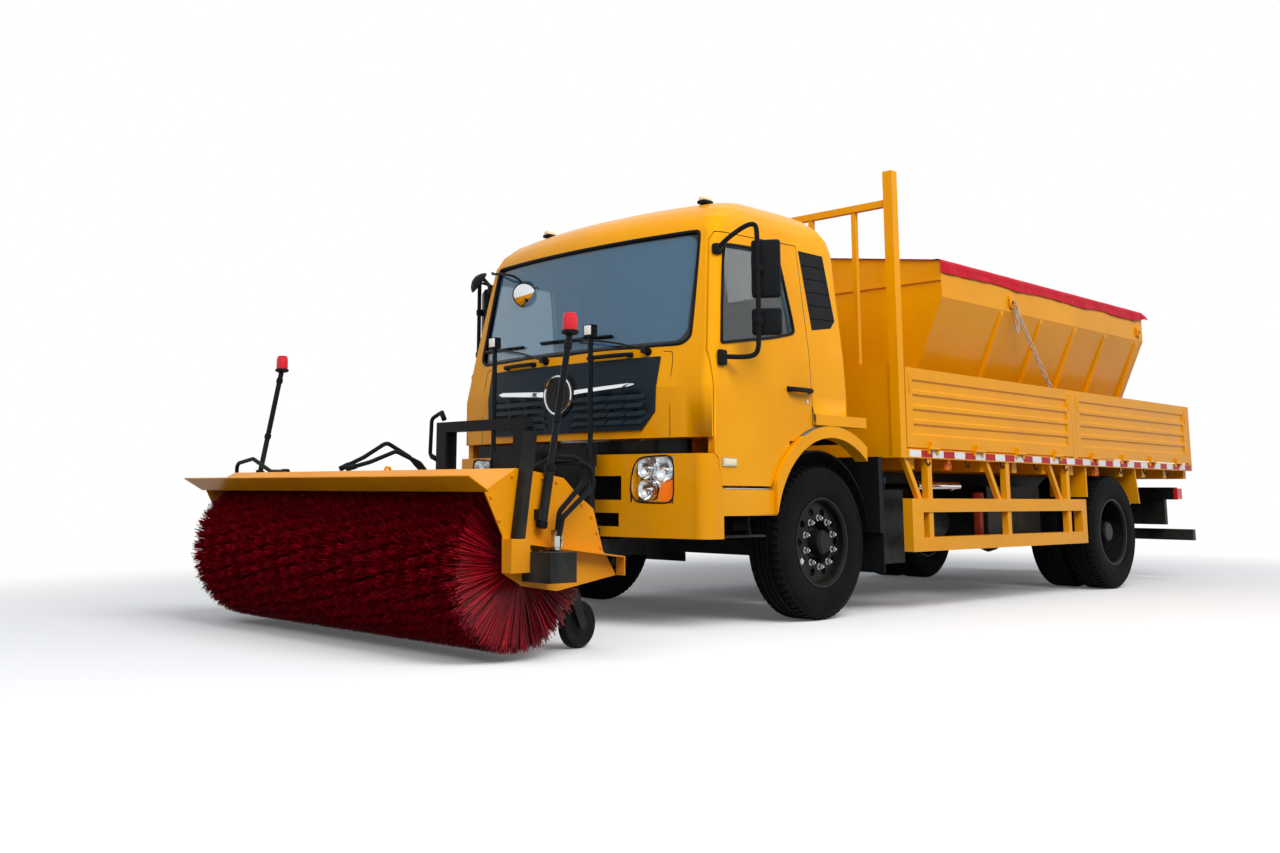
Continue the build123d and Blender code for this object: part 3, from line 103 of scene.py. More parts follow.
# The floor is a plain diffuse surface. Past the truck it fades to plain white.
floor_finish, tree = new_finish("pale_studio_floor")
place = add(tree, "ShaderNodeTexCoord").outputs["Object"]
place = add(tree, "ShaderNodeVectorMath", {0: place, 1: (0.8, 1.25, 1.0)}, operation="MULTIPLY").outputs[0]
reach = add(tree, "ShaderNodeVectorMath", {0: place}, operation="LENGTH").outputs["Value"]
far_out = add(tree, "ShaderNodeMapRange", {"Value": reach, "From Min": 4.2, "From Max": 9.0},
              interpolation_type="SMOOTHSTEP").outputs[0]
lit = add(tree, "ShaderNodeBsdfDiffuse", {"Color": hex_colour("E9E9E9")})
glow = add(tree, "ShaderNodeEmission", {"Color": (1, 1, 1, 1), "Strength": 0.07})
near = add(tree, "ShaderNodeAddShader", {0: lit.outputs[0], 1: glow.outputs[0]})
white = add(tree, "ShaderNodeEmission", {"Color": (1, 1, 1, 1), "Strength": 1.0})
bounce = add(tree, "ShaderNodeBsdfDiffuse", {"Color": hex_colour("8A8A8A")})
seen = looked_at(tree)
near = add(tree, "ShaderNodeMixShader", {0: seen, 1: bounce.outputs[0], 2: near.outputs[0]})
share = add(tree, "ShaderNodeMath", {0: far_out, 1: seen}, operation="MULTIPLY").outputs[0]
whole = add(tree, "ShaderNodeMixShader", {0: share, 1: near.outputs[0], 2: white.outputs[0]})
add(tree, "ShaderNodeOutputMaterial", {"Surface": whole.outputs[0]})
bm = bmesh.new()
bmesh.ops.create_grid(bm, x_segments=1, y_segments=1, size=60)
floor_mesh = bpy.data.meshes.new("floor")
bm.to_mesh(floor_mesh)
bm.free()
floor_mesh.materials.append(floor_finish)
floor = bpy.data.objects.new("floor", floor_mesh)
view.collection.objects.link(floor)

sky = bpy.data.worlds.new("pale_sky")
view.world = sky
sky.use_nodes = True
tree = sky.node_tree
tree.nodes.clear()
dim = add(tree, "ShaderNodeBackground", {"Color": hex_colour("E4ECF6"), "Strength": 0.42})
bright = add(tree, "ShaderNodeBackground", {"Color": (1, 1, 1, 1), "Strength": 1.0})
mixed = add(tree, "ShaderNodeMixShader", {0: looked_at(tree), 1: dim.outputs[0], 2: bright.outputs[0]})
add(tree, "ShaderNodeOutputWorld", {"Surface": mixed.outputs[0]})

# Columns: name, place, aimed at, width, height, watts.
LAMPS = (
    ("key_lamp", (4.6, 8.6, 9.4), (0.0, 0, 1.2), 9, 6, 1330),
    ("nose_lamp", (12.0, 2.5, 7.0), (2.5, 0, 1.2), 6, 4, 300),
    ("rear_lamp", (-9.0, 6.0, 8.0), (-2.0, 0, 1.5), 6, 5, 300),
)
for name, place, target, width, height, watts in LAMPS:
    light = bpy.data.lights.new(name, "AREA")
    light.shape = "RECTANGLE"
    light.size, light.size_y = width, height
    light.energy = watts
    holder = bpy.data.objects.new(name, light)
    view.collection.objects.link(holder)
    holder.location = place
    holder.visible_glossy = False
    holder.rotation_euler = (Vector(target) - Vector(place)).to_track_quat("-Z", "Y").to_euler()

# Body paint: two-pack enamel in a warm golden yellow over pressed steel,
# sprayed, so it has a faint orange peel, a clear gloss and dust low down.
ROAD_DUST = "8F8673"


def dust_share(tree, place, top, most):
    """How much road dust lies on a surface: most at the road, none above top."""
    height = add(tree, "ShaderNodeSeparateXYZ", {0: place}).outputs["Z"]
    fall = add(tree, "ShaderNodeMapRange", {"Value": height, "From Min": 0.25, "From Max": top,
                                           "To Min": most, "To Max": 0.0}).outputs[0]
    cloud = add(tree, "ShaderNodeTexNoise", {"Vector": place, "Scale": 3.5, "Detail": 8.0,
                                            "Roughness": 0.65}).outputs["Fac"]
    patchy = add(tree, "ShaderNodeMapRange", {"Value": cloud, "From Min": 0.35, "From Max": 0.7}).outputs[0]
    return add(tree, "ShaderNodeMath", {0: fall, 1: patchy}, operation="MULTIPLY").outputs[0]


def inner_face(tree, place, centre, floor_z):
    """1 on a hollow shell's faces that look towards its middle, above its floor."""
    towards = add(tree, "ShaderNodeVectorMath", {0: place, 1: centre}, operation="SUBTRACT").outputs[0]
    facing = add(tree, "ShaderNodeTexCoord").outputs["Normal"]
    dot = add(tree, "ShaderNodeVectorMath", {0: towards, 1: facing}, operation="DOT_PRODUCT").outputs["Value"]
    inner = add(tree, "ShaderNodeMath", {0: dot, 1: 0.0}, operation="LESS_THAN").outputs[0]
    height = add(tree, "ShaderNodeSeparateXYZ", {0: place}).outputs["Z"]
    above = add(tree, "ShaderNodeMath", {0: height, 1: floor_z}, operation="GREATER_THAN").outputs[0]
    return add(tree, "ShaderNodeMath", {0: inner, 1: above}, operation="MULTIPLY").outputs[0]


def painted(name, colour, shade, rough, dust_top, dust_most, coat=0.12, lining=None, black_above=None):
    """Sprayed enamel: colour drifts over half a metre, orange peel is 3 mm across."""
    made, tree = new_finish(name)
    place = add(tree, "ShaderNodeTexCoord").outputs["Object"]
    drift = add(tree, "ShaderNodeTexNoise", {"Vector": place, "Scale": 1.6, "Detail": 4.0}).outputs["Fac"]
    drift = add(tree, "ShaderNodeMapRange", {"Value": drift, "From Min": 0.3, "From Max": 0.7}).outputs[0]
    paint = add(tree, "ShaderNodeMix", {0: drift, 6: hex_colour(colour), 7: hex_colour(shade)},
                data_type="RGBA").outputs[2]
    dust = dust_share(tree, place, dust_top, dust_most)
    paint = add(tree, "ShaderNodeMix", {0: dust, 6: paint, 7: hex_colour(ROAD_DUST)},
                data_type="RGBA").outputs[2]
    rough_here = add(tree, "ShaderNodeMapRange", {"Value": dust, "To Min": rough, "To Max": 0.75}).outputs[0]
    if lining:
        inner = inner_face(tree, place, (2.35, 0, 1.9), 1.2)
        paint = add(tree, "ShaderNodeMix", {0: inner, 6: paint, 7: hex_colour(lining)},
                    data_type="RGBA").outputs[2]
        # Faces inside the shell's width, below 1.2 m and behind the nose, turn near black.
        split = add(tree, "ShaderNodeSeparateXYZ", {0: place})
        across = add(tree, "ShaderNodeMath", {0: split.outputs["Y"]}, operation="ABSOLUTE").outputs[0]
        inside = add(tree, "ShaderNodeMath", {0: across, 1: 1.108}, operation="LESS_THAN").outputs[0]
        below = add(tree, "ShaderNodeMath", {0: split.outputs["Z"], 1: 1.2}, operation="LESS_THAN").outputs[0]
        behind = add(tree, "ShaderNodeMath", {0: split.outputs["X"], 1: 2.39}, operation="LESS_THAN").outputs[0]
        hidden = add(tree, "ShaderNodeMath", {0: inside, 1: below}, operation="MULTIPLY").outputs[0]
        hidden = add(tree, "ShaderNodeMath", {0: hidden, 1: behind}, operation="MULTIPLY").outputs[0]
        paint = add(tree, "ShaderNodeMix", {0: hidden, 6: paint, 7: hex_colour("0D0F11")},
                    data_type="RGBA").outputs[2]
        rough_here = add(tree, "ShaderNodeMath", {0: rough_here, 1: inner}, operation="MAXIMUM").outputs[0]
    # Above black_above the paint turns near black: painted shade, used for the recess over the bumper.
    if black_above:
        height = add(tree, "ShaderNodeSeparateXYZ", {0: place}).outputs["Z"]
        over = add(tree, "ShaderNodeMath", {0: height, 1: black_above}, operation="GREATER_THAN").outputs[0]
        paint = add(tree, "ShaderNodeMix", {0: over, 6: paint, 7: hex_colour("0E0F10")},
                    data_type="RGBA").outputs[2]
    peel = add(tree, "ShaderNodeTexNoise", {"Vector": place, "Scale": 330.0, "Detail": 1.0}).outputs["Fac"]
    bump = add(tree, "ShaderNodeBump", {"Height": peel, "Strength": 0.06, "Distance": 0.001}).outputs[0]
    shader = add(tree, "ShaderNodeBsdfPrincipled",
                 {"Base Color": paint, "Roughness": rough_here, "Normal": bump, "IOR": 1.5,
                  "Specular IOR Level": 0.09, "Coat Weight": coat, "Coat Roughness": 0.06})
    add(tree, "ShaderNodeOutputMaterial", {"Surface": shader.outputs[0]})
    return made


def dress(finish, *nodes):
    for name in nodes:
        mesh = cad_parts[name].data
        mesh.materials.clear()
        mesh.materials.append(finish)


yellow_enamel = painted("golden_yellow_enamel", "EFA000", "E49600", 0.32, 1.0, 0.12)
dress(yellow_enamel, "bed_platform", "headboard", "board_left_front", "board_left_rear",
      "board_right_front", "board_right_rear", "side_guards", "hopper", "spreader_outlet")
hood_enamel = painted("brush_hood_enamel", "EC9A06", "DE8A00", 0.38, 0.9, 0.16, coat=0.08)
dress(hood_enamel, "brush_hood")

# Chassis paint: semi-gloss black over rolled and cast steel, with grey dust.
# Castings are duller and rougher than the rails, and the wheel discs are glossier.
chassis_black = painted("chassis_black_paint", "0D1013", "15191D", 0.42, 1.3, 0.16, coat=0.03)
dress(chassis_black, "chassis_frame", "chassis_tanks", "rear_bars", "hitch_mount", "lift_arm",
      "lift_ram_barrel", "swing_frame", "brush_fittings", "caster_fork_left",
      "caster_fork_right")
cast_black = painted("cast_iron_paint", "0B0C0D", "141516", 0.6, 1.2, 0.22, coat=0.0)
dress(cast_black, "front_axle_beam", "leaf_springs", "rear_axle_casing", "knuckle_left",
      "knuckle_right", "engine_and_shaft", "brush_core")
rim_black = painted("rim_black_enamel", "0A0B0D", "101215", 0.35, 0.9, 0.08, coat=0.06)
dress(rim_black, "front_rim_left", "front_rim_right", "rear_rims_left", "rear_rims_right")


# Black plastic: moulded polypropylene with a leather grain of about 1.5 mm,
# drawn at 4 mm so that it shows.
def moulded(name, colour, rough, grain=250.0, depth=0.12):
    made, tree = new_finish(name)
    place = add(tree, "ShaderNodeTexCoord").outputs["Object"]
    cells = add(tree, "ShaderNodeTexVoronoi", {"Vector": place, "Scale": grain}).outputs["Distance"]
    bump = add(tree, "ShaderNodeBump", {"Height": cells, "Strength": depth, "Distance": 0.001}).outputs[0]
    cloud = add(tree, "ShaderNodeTexNoise", {"Vector": place, "Scale": 6.0, "Detail": 5.0}).outputs["Fac"]
    tint = add(tree, "ShaderNodeMapRange", {"Value": cloud, "To Min": 0.0, "To Max": 0.05}).outputs[0]
    colour = add(tree, "ShaderNodeMix", {0: tint, 6: hex_colour(colour), 7: hex_colour("6E6A62")},
                 data_type="RGBA").outputs[2]
    shader = add(tree, "ShaderNodeBsdfPrincipled", {"Base Color": colour, "Roughness": rough,
                                                   "Normal": bump, "IOR": 1.49,
                                                   "Specular IOR Level": 0.09})
    add(tree, "ShaderNodeOutputMaterial", {"Surface": shader.outputs[0]})
    return made


black_plastic = moulded("moulded_black_plastic", "0C1014", 0.5)
dress(black_plastic, "front_mudguards", "mirror_left", "mirror_right", "quarter_vents",
      "caster_wheel_left", "caster_wheel_right")
dash_plastic = moulded("dashboard_grey_plastic", "2B2C2F", 0.62)
dress(dash_plastic, "dashboard")
grille_plastic = moulded("grille_blue_grey_plastic", "17252E", 0.4, grain=400.0, depth=0.04)
dress(grille_plastic, "grille_panel")


# Glass: float glass with a clear gloss, faintly grey, which lets shadow rays pass.
# The windscreen adds a painted reflection of blue sky, mixed in at about half strength, and a black border
# printed at its edge.
def printed_border(tree):
    """1 on the windscreen's printed border, 0 inside its rounded clear field."""
    split = add(tree, "ShaderNodeSeparateXYZ", {0: add(tree, "ShaderNodeTexCoord").outputs["Object"]})
    across = add(tree, "ShaderNodeMath", {0: split.outputs["Y"]}, operation="ABSOLUTE").outputs[0]
    half_width, middle_height, half_height, round_off = 0.970, 2.120, 0.346, 0.09  # metres
    across = add(tree, "ShaderNodeMath", {0: across, 1: half_width - round_off},
                 operation="SUBTRACT").outputs[0]
    rise = add(tree, "ShaderNodeMath", {0: split.outputs["Z"], 1: middle_height},
               operation="SUBTRACT").outputs[0]
    rise = add(tree, "ShaderNodeMath", {0: rise}, operation="ABSOLUTE").outputs[0]
    rise = add(tree, "ShaderNodeMath", {0: rise, 1: half_height - round_off},
               operation="SUBTRACT").outputs[0]
    across = add(tree, "ShaderNodeMath", {0: across, 1: 0.0}, operation="MAXIMUM").outputs[0]
    rise = add(tree, "ShaderNodeMath", {0: rise, 1: 0.0}, operation="MAXIMUM").outputs[0]
    corner = add(tree, "ShaderNodeCombineXYZ", {0: across, 1: rise}).outputs[0]
    reach = add(tree, "ShaderNodeVectorMath", {0: corner}, operation="LENGTH").outputs["Value"]
    return add(tree, "ShaderNodeMath", {0: reach, 1: round_off}, operation="GREATER_THAN").outputs[0]


def glazed(name, colour, rough=0.0, border=False):
    made, tree = new_finish(name)
    shader = add(tree, "ShaderNodeBsdfPrincipled",
                 {"Base Color": hex_colour(colour), "Roughness": rough, "IOR": 1.45,
                  "Transmission Weight": 1.0})
    pass_light = add(tree, "ShaderNodeBsdfTransparent", {"Color": hex_colour(colour)})
    rays = add(tree, "ShaderNodeLightPath")
    both_ways = add(tree, "ShaderNodeMixShader", {0: rays.outputs["Is Shadow Ray"], 1: shader.outputs[0],
                                                 2: pass_light.outputs[0]})
    if border:
        # Painted reflection of blue sky: a blue glossy surface mixed into the glass at 48 %, the same from every
        # side.
        painted_sky_reflection = add(tree, "ShaderNodeBsdfPrincipled", {"Base Color": hex_colour("4C7896"), "Roughness": 0.1,
                                                     "Specular IOR Level": 0.5})
        both_ways = add(tree, "ShaderNodeMixShader", {0: 0.48, 1: both_ways.outputs[0], 2: painted_sky_reflection.outputs[0]})
        print_black = add(tree, "ShaderNodeBsdfPrincipled",
                          {"Base Color": hex_colour("0B0C0E"), "Roughness": 0.12})
        both_ways = add(tree, "ShaderNodeMixShader", {0: printed_border(tree), 1: both_ways.outputs[0],
                                                     2: print_black.outputs[0]})
    add(tree, "ShaderNodeOutputMaterial", {"Surface": both_ways.outputs[0]})
    return made


window_glass = glazed("tempered_window_glass", "E2E8E8")
lens_glass = glazed("clear_lamp_lens", "F2F5F7")
dress(lens_glass, "headlamps")


# Red acrylic lenses: tail lamps and the beacons on the brush, moulded with
# shallow rings that scatter the light.
def lens(name, colour):
    made, tree = new_finish(name)
    place = add(tree, "ShaderNodeTexCoord").outputs["Object"]
    rings = add(tree, "ShaderNodeTexWave", {"Vector": place, "Scale": 40.0}, bands_direction="Z").outputs["Fac"]
    bump = add(tree, "ShaderNodeBump", {"Height": rings, "Strength": 0.3, "Distance": 0.002}).outputs[0]
    shader = add(tree, "ShaderNodeBsdfPrincipled",
                 {"Base Color": hex_colour(colour), "Roughness": 0.16, "Normal": bump, "IOR": 1.49,
                  "Specular IOR Level": 0.3,
                  "Emission Color": hex_colour(colour), "Emission Strength": 0.05})
    add(tree, "ShaderNodeOutputMaterial", {"Surface": shader.outputs[0]})
    return made


red_lens = lens("red_acrylic_lens", "D3202B")
dress(red_lens, "tail_lamps", "beacon_lamps")


# Bare steel: nuts, rods and chain are zinc plated over drawn steel, so they
# are bright, with fine lines along the drawing direction.
def plated(name, colour, rough):
    made, tree = new_finish(name)
    place = add(tree, "ShaderNodeTexCoord").outputs["Object"]
    stretch = add(tree, "ShaderNodeMapping", {"Vector": place, "Scale": (4, 60, 60)}).outputs[0]
    lines = add(tree, "ShaderNodeTexNoise", {"Vector": stretch, "Scale": 12.0, "Detail": 6.0}).outputs["Fac"]
    rough_here = add(tree, "ShaderNodeMapRange", {"Value": lines, "To Min": rough - 0.08,
                                                 "To Max": rough + 0.14}).outputs[0]
    shader = add(tree, "ShaderNodeBsdfPrincipled", {"Base Color": hex_colour(colour),
                                                   "Roughness": rough_here, "Metallic": 1.0})
    add(tree, "ShaderNodeOutputMaterial", {"Surface": shader.outputs[0]})
    return made


# Seat cloth: woven grey polyester over foam. Its threads are 1 mm apart and are
# drawn at 3 mm, so that the dull weave shows.
seat_cloth = moulded("woven_seat_cloth", "3A3E46", 0.9, grain=300.0, depth=0.3)
dress(seat_cloth, "seats")


# Bristles: extruded polypropylene in three batches of red. Each filament is
# smooth, so it has a narrow gloss along it, and it is worn duller in places.
def extruded_strand(name, colour):
    """Extruded filament: one colour, worn towards a duller red in patches of 2 cm."""
    made, tree = new_finish(name)
    place = add(tree, "ShaderNodeTexCoord").outputs["Object"]
    worn = add(tree, "ShaderNodeTexNoise", {"Vector": place, "Scale": 45.0, "Detail": 2.0}).outputs["Fac"]
    tint = add(tree, "ShaderNodeMix", {0: worn, 6: hex_colour(colour), 7: hex_colour("7A0A16")},
               data_type="RGBA").outputs[2]
    shader = add(tree, "ShaderNodeBsdfPrincipled", {"Base Color": tint, "Roughness": 0.32, "IOR": 1.49,
                                                   "Specular IOR Level": 0.32})
    add(tree, "ShaderNodeOutputMaterial", {"Surface": shader.outputs[0]})
    return made


bristle_red = extruded_strand("red_polypropylene_bristle", "9C0418")
strand_finishes = (extruded_strand("dark_red_bristle", "52020A"), bristle_red,
                   extruded_strand("bright_red_bristle", "E01A34"))
dress(bristle_red, "brush_bristles")

# Tarp cloth: red PVC coating over woven polyester, calendered, so it has a soft
# sheen with the weave just showing through.
tarp_red = moulded("red_coated_tarp", "C8142C", 0.5, grain=220.0, depth=0.1)
dress(tarp_red, "hopper_tarp")


# Tyres: steel-belted radials with a ribbed tread, moulded and cured in a press.
# Each has four 12 mm grooves, shoulder blocks and rings on its side walls.
def at(x, y, z):
    """Millimetres from the front axle's middle on the road, as a place in the frame."""
    return Vector(((x + 1810) / 1000, y / 1000, z / 1000))


def turned(bm, profile, middle, along, steps=64, closed=False):
    """Spin (radius, distance along the axis) in metres round an axis through middle."""
    along = Vector(along).normalized()
    across = along.orthogonal().normalized()
    known = set(bm.faces)
    ring = [bm.verts.new(Vector(middle) + across * r + along * d) for r, d in profile]
    edges = [bm.edges.new(pair) for pair in zip(ring, ring[1:])]
    if closed:
        edges.append(bm.edges.new((ring[-1], ring[0])))
    bmesh.ops.spin(bm, geom=ring + edges, cent=middle, axis=along, angle=2 * math.pi, steps=steps,
                   use_merge=True, use_duplicate=False)
    return [f for f in bm.faces if f not in known]


def made_piece(name, bm, finishes, body, sharp=35, outward=True):
    """Turn a finished bmesh into a named piece that rides a body."""
    bmesh.ops.remove_doubles(bm, verts=bm.verts, dist=0.00001)
    if outward:
        bmesh.ops.recalc_face_normals(bm, faces=bm.faces)
    mesh = bpy.data.meshes.new(name)
    bm.to_mesh(mesh)
    bm.free()
    for finish in finishes if isinstance(finishes, tuple) else (finishes,):
        mesh.materials.append(finish)
    mesh.shade_smooth()
    mesh.set_sharp_from_angle(angle=math.radians(sharp))
    made = bpy.data.objects.new(name, mesh)
    view.collection.objects.link(made)
    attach(made, body)
    return made


SIDES = (("left", 1), ("right", -1))
tyre_rubber = moulded("carbon_black_rubber", "07090B", 0.8, grain=180.0, depth=0.06)
TYRE_WALL = ((286, -108), (300, -119), (308, -126), (322, -127), (328, -131), (352, -135), (386, -137.5),
             (420, -137), (438, -134), (441, -137), (452, -136), (456, -131), (478, -123), (492, -116),
             (503, -106), (507, -92))
TREAD = ((508, -68), (496, -66), (496, -55), (508, -53), (508, -25), (496, -23), (496, -12), (508, -10))


def tyre(bm, outer_face, axle, side):
    middle = outer_face - 137.5
    half = TYRE_WALL + TREAD
    ring = half + tuple((r, -y) for r, y in reversed(half))
    centre = at(axle, 0, 508)
    turned(bm, [(r / 1000, side * (middle + y) / 1000) for r, y in ring], centre, (0, 1, 0), steps=120,
           closed=True)
    bmesh.ops.remove_doubles(bm, verts=bm.verts, dist=0.00001)
    bmesh.ops.recalc_face_normals(bm, faces=bm.faces)
    blocks = []
    for face in bm.faces:
        place = face.calc_center_median() - centre
        across = abs(place.y - side * middle / 1000)
        step = round(math.atan2(place.z, place.x) / (2 * math.pi) * 120 - 0.5)
        if across > 0.069 and math.hypot(place.x, place.z) > 0.496 and step % 2:
            blocks.append(face)
    bmesh.ops.inset_region(bm, faces=blocks, thickness=0.002, depth=-0.010, use_even_offset=True)


for side_name, side in SIDES:
    bm = bmesh.new()
    tyre(bm, 1138, 0, side)
    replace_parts(made_piece(f"ribbed_front_tyre_{side_name}", bm, tyre_rubber, f"front_wheel_{side_name}"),
                f"front_tyre_{side_name}")
    twin = bmesh.new()
    for outer_face in (1232, 915):
        bm = bmesh.new()
        tyre(bm, outer_face, -4443, side)
        loose = bpy.data.meshes.new("one_tyre")
        bm.to_mesh(loose)
        bm.free()
        twin.from_mesh(loose)
        bpy.data.meshes.remove(loose)
    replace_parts(made_piece(f"ribbed_rear_tyres_{side_name}", twin, tyre_rubber, f"rear_wheel_{side_name}"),
                f"rear_tyres_{side_name}")

# Wheel nuts: ten M22 flange nuts a wheel, forged, zinc plated and bright.
# They clamp the black disc to the hub; each has a washer and a stud end.
zinc_steel = plated("zinc_plated_steel", "C4C6C8", 0.26)
WHEEL_NUTS = 10


def round_bar(bm, start, end, radius, end_radius=None, sides=16, chamfer=0.0):
    """A round or tapered bar between two places; returns its corners."""
    start, end = Vector(start), Vector(end)
    run = end - start
    place = Matrix.Translation((start + end) / 2) @ run.to_track_quat("Z", "Y").to_matrix().to_4x4()
    known = set(bm.verts)
    made = bmesh.ops.create_cone(bm, cap_ends=True, segments=sides, radius1=radius,
                                 radius2=end_radius or radius,
                                 depth=run.length, matrix=place)["verts"]
    if chamfer:
        rims = [e for e in {e for v in made for e in v.link_edges}
                if any(len(f.verts) == sides for f in e.link_faces)]
        bmesh.ops.bevel(bm, geom=rims, offset=chamfer, affect="EDGES", segments=2, profile=0.5, material=-1)
    return [v for v in bm.verts if v not in known]


for side_name, side in SIDES:
    for row, axle, radius, face in (("front", 0, 160, 1087), ("rear", -4443, 168, 999)):
        bm = bmesh.new()
        for index in range(WHEEL_NUTS):
            turn = 2 * math.pi * (index + 0.5) / WHEEL_NUTS
            x, z = axle + radius * math.cos(turn), 508 + radius * math.sin(turn)
            round_bar(bm, at(x, side * (face - 4), z), at(x, side * (face + 5), z), 0.021, sides=16,
                      chamfer=0.001)
            round_bar(bm, at(x, side * face, z), at(x, side * (face + 27), z), 0.0165, sides=6, chamfer=0.0015)
            round_bar(bm, at(x, side * (face + 26), z), at(x, side * (face + 40), z), 0.011, 0.008, sides=12,
                      chamfer=0.001)
        made_piece(f"{row}_wheel_nuts_{side_name}", bm, zinc_steel, f"{row}_wheel_{side_name}")

# Cab shell and doors: pressed and welded steel in body colour. Their inner faces are lined with grey board, and
# every face inside the shell's width below 1.2 m, behind the nose, is near black.


def rounded_block(bm, low, high, radius, segments=2, turn=0.0):
    """A block between two corners with rounded edges, turned about its own upright axis."""
    low, high = Vector(low), Vector(high)
    known = set(bm.verts)
    made = bmesh.ops.create_cube(bm, size=1.0)["verts"]
    size = Vector([abs(s) for s in high - low])
    bmesh.ops.scale(bm, vec=size, verts=made)
    edges = list({e for v in made for e in v.link_edges})
    bmesh.ops.bevel(bm, geom=edges, offset=min(radius, 0.49 * min(size)), affect="EDGES", segments=segments,
                    profile=0.5, material=-1)
    made = [v for v in bm.verts if v not in known]
    bmesh.ops.rotate(bm, cent=(0, 0, 0), matrix=Matrix.Rotation(turn, 3, "Z"), verts=made)
    bmesh.ops.translate(bm, vec=(low + high) / 2, verts=made)
    return made


def bent_tube(bm, points, radius, sides=6, order=3):
    """A tube along one smooth line through the points' control net."""
    line = bpy.data.curves.new("tube_line", "CURVE")
    line.dimensions = "3D"
    line.bevel_depth = radius
    line.bevel_resolution = sides
    line.use_fill_caps = True
    line.resolution_u = 8
    spline = line.splines.new("NURBS")
    spline.points.add(len(points) - 1)
    for point, place in zip(spline.points, points):
        point.co = (*place, 1)
    spline.order_u = order
    spline.use_endpoint_u = True
    holder = bpy.data.objects.new("tube_line", line)
    mesh = bpy.data.meshes.new_from_object(holder)
    bm.from_mesh(mesh)
    bpy.data.objects.remove(holder)
    bpy.data.curves.remove(line)
    bpy.data.meshes.remove(mesh)


cab_enamel = painted("cab_yellow_enamel", "F0A202", "E49600", 0.3, 1.0, 0.2, lining="64727D")


def pressed_copy(node, finish, body, sharp):
    """A CAD form with its triangles welded, so that its curved bands shade as one skin."""
    bm = bmesh.new()
    bm.from_mesh(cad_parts[node].data)
    made = made_piece(f"{node}_skin", bm, finish, body, sharp=sharp, outward=False)
    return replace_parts(made, node)


for node, body in (("cab_shell", "chassis"), ("door_left", "door_left"), ("door_right", "door_right")):
    pressed_copy(node, cab_enamel, body, 24)
pressed_copy("grille_panel", grille_plastic, "chassis", 24)
pressed_copy("brush_hoses", black_plastic, "brush_head", 50)

# Door window rubbers: an extruded black EPDM section pressed round each opening.
# It hides the edge of the sheet and wipes the glass.
def cab_side(z):
    """The cab's half width at a height, in millimetres."""
    return 1172 - (z - 1760) * 76 / 740


for side_name, side in SIDES:
    bm = bmesh.new()
    corners = ((1098, 1752), (1050, 2040), (985, 2385), (960, 2400), (700, 2412), (440, 2424), (412, 2400),
               (362, 2140),
               (316, 1895), (340, 1876), (470, 1848), (600, 1822), (850, 1786), (1080, 1750), (1098, 1752),
               (1050, 2040))
    bent_net = [at(x, side * (cab_side(z) + 1), z) for x, z in corners]
    bent_tube(bm, bent_net, 0.0105, sides=3)
    made_piece(f"door_window_rubber_{side_name}", bm, black_plastic, f"door_{side_name}")

# Bright trim on the grille: a chromed strip each side of a round badge place.
# The badge place is bare: a black dish in a chromed ring, both pressed in.
chrome = plated("chrome_trim", "E6E8EA", 0.08)
gloss_black = painted("gloss_black_enamel", "0C0D0F", "101114", 0.16, 0.5, 0.0, coat=0.16)
NOSE_ROWS = ((1165, 1350, 110, 1108), (1480, 1352, 112, 1110), (1760, 1300, 112, 1088), (2500, 1152, 96, 1000),
             (2590, 1112, 100, 956))


def nose_x(y, z):
    """How far ahead of the axle the cab's skin stands, in millimetres."""
    for low, high in zip(NOSE_ROWS, NOSE_ROWS[1:]):
        if z <= high[0]:
            break
    share = max(0.0, (z - low[0]) / (high[0] - low[0]))
    ahead_here, fall, reach = (a + (b - a) * share for a, b in zip(low[1:], high[1:]))
    return ahead_here - fall * (y / reach) ** 2


bm = bmesh.new()
for side, row, column in [(side, row, column) for side in (1, -1) for row in range(4) for column in range(4)]:
    y0, z0 = 138 + column * 150 + (row % 2) * 12, 1250 + row * 52
    blade = bmesh.ops.create_cube(bm, size=1.0)["verts"]
    for v in blade:
        inner, low, outer_end = v.co.x < 0, v.co.z < 0, v.co.y > 0
        y = y0 + (128 if low else 142) if outer_end else y0 - (14 if low else 0)
        z = z0 + (2 if low else 36)
        v.co = at(nose_x(y, z) + (2 if inner else (30 if low else 17)), side * y, z)
    edges = list({e for v in blade for e in v.link_edges})
    bmesh.ops.bevel(bm, geom=edges, offset=0.0025, affect="EDGES", segments=2, profile=0.5, material=-1)
made_piece("grille_louvre_blades", bm, grille_plastic, "chassis")
bm = bmesh.new()
turned(bm, [(0, 0), (0.142, 0), (0.150, 0.004), (0.150, 0.014), (0.142, 0.018), (0.128, 0.016), (0.112, 0.011),
            (0.06, 0.013), (0, 0.015)], at(1360, 0, 1467), (1, 0, 0), steps=72)
made_piece("badge_dish", bm, gloss_black, "chassis")
bm = bmesh.new()
turned(bm, [(0.119, 0.012), (0.121, 0.022), (0.127, 0.026), (0.133, 0.022), (0.135, 0.014)], at(1360, 0, 1467),
       (1, 0, 0), steps=96, closed=True)
for side in (1, -1):
    strip = bmesh.ops.create_cube(bm, size=1.0)["verts"]
    bmesh.ops.subdivide_edges(bm, edges=[e for e in {e for v in strip for e in v.link_edges}
                                         if abs((e.verts[0].co - e.verts[1].co).y) > 0.5], cuts=10)
    for v in bm.verts:
        if abs(v.co.x) < 0.6 and abs(v.co.y) < 0.6 and abs(v.co.z) < 0.6:
            run = v.co.y + 0.5
            y = side * (150 + 506 * run)
            tall = 30 - 8 * run if run < 0.95 else 6
            z = 1478 + 28 * run + v.co.z * tall
            v.co = at(nose_x(y, z) + 12 + (v.co.x + 0.5) * (14 if abs(v.co.z) < 0.6 else 6), y, z)
bevels = [e for e in bm.edges if e.is_manifold and e.calc_face_angle(0) > 1.2 and e.calc_length() > 0.02]
bmesh.ops.bevel(bm, geom=bevels, offset=0.003, affect="EDGES", segments=2, profile=0.5, material=-1)
made_piece("grille_trim", bm, chrome, "chassis")


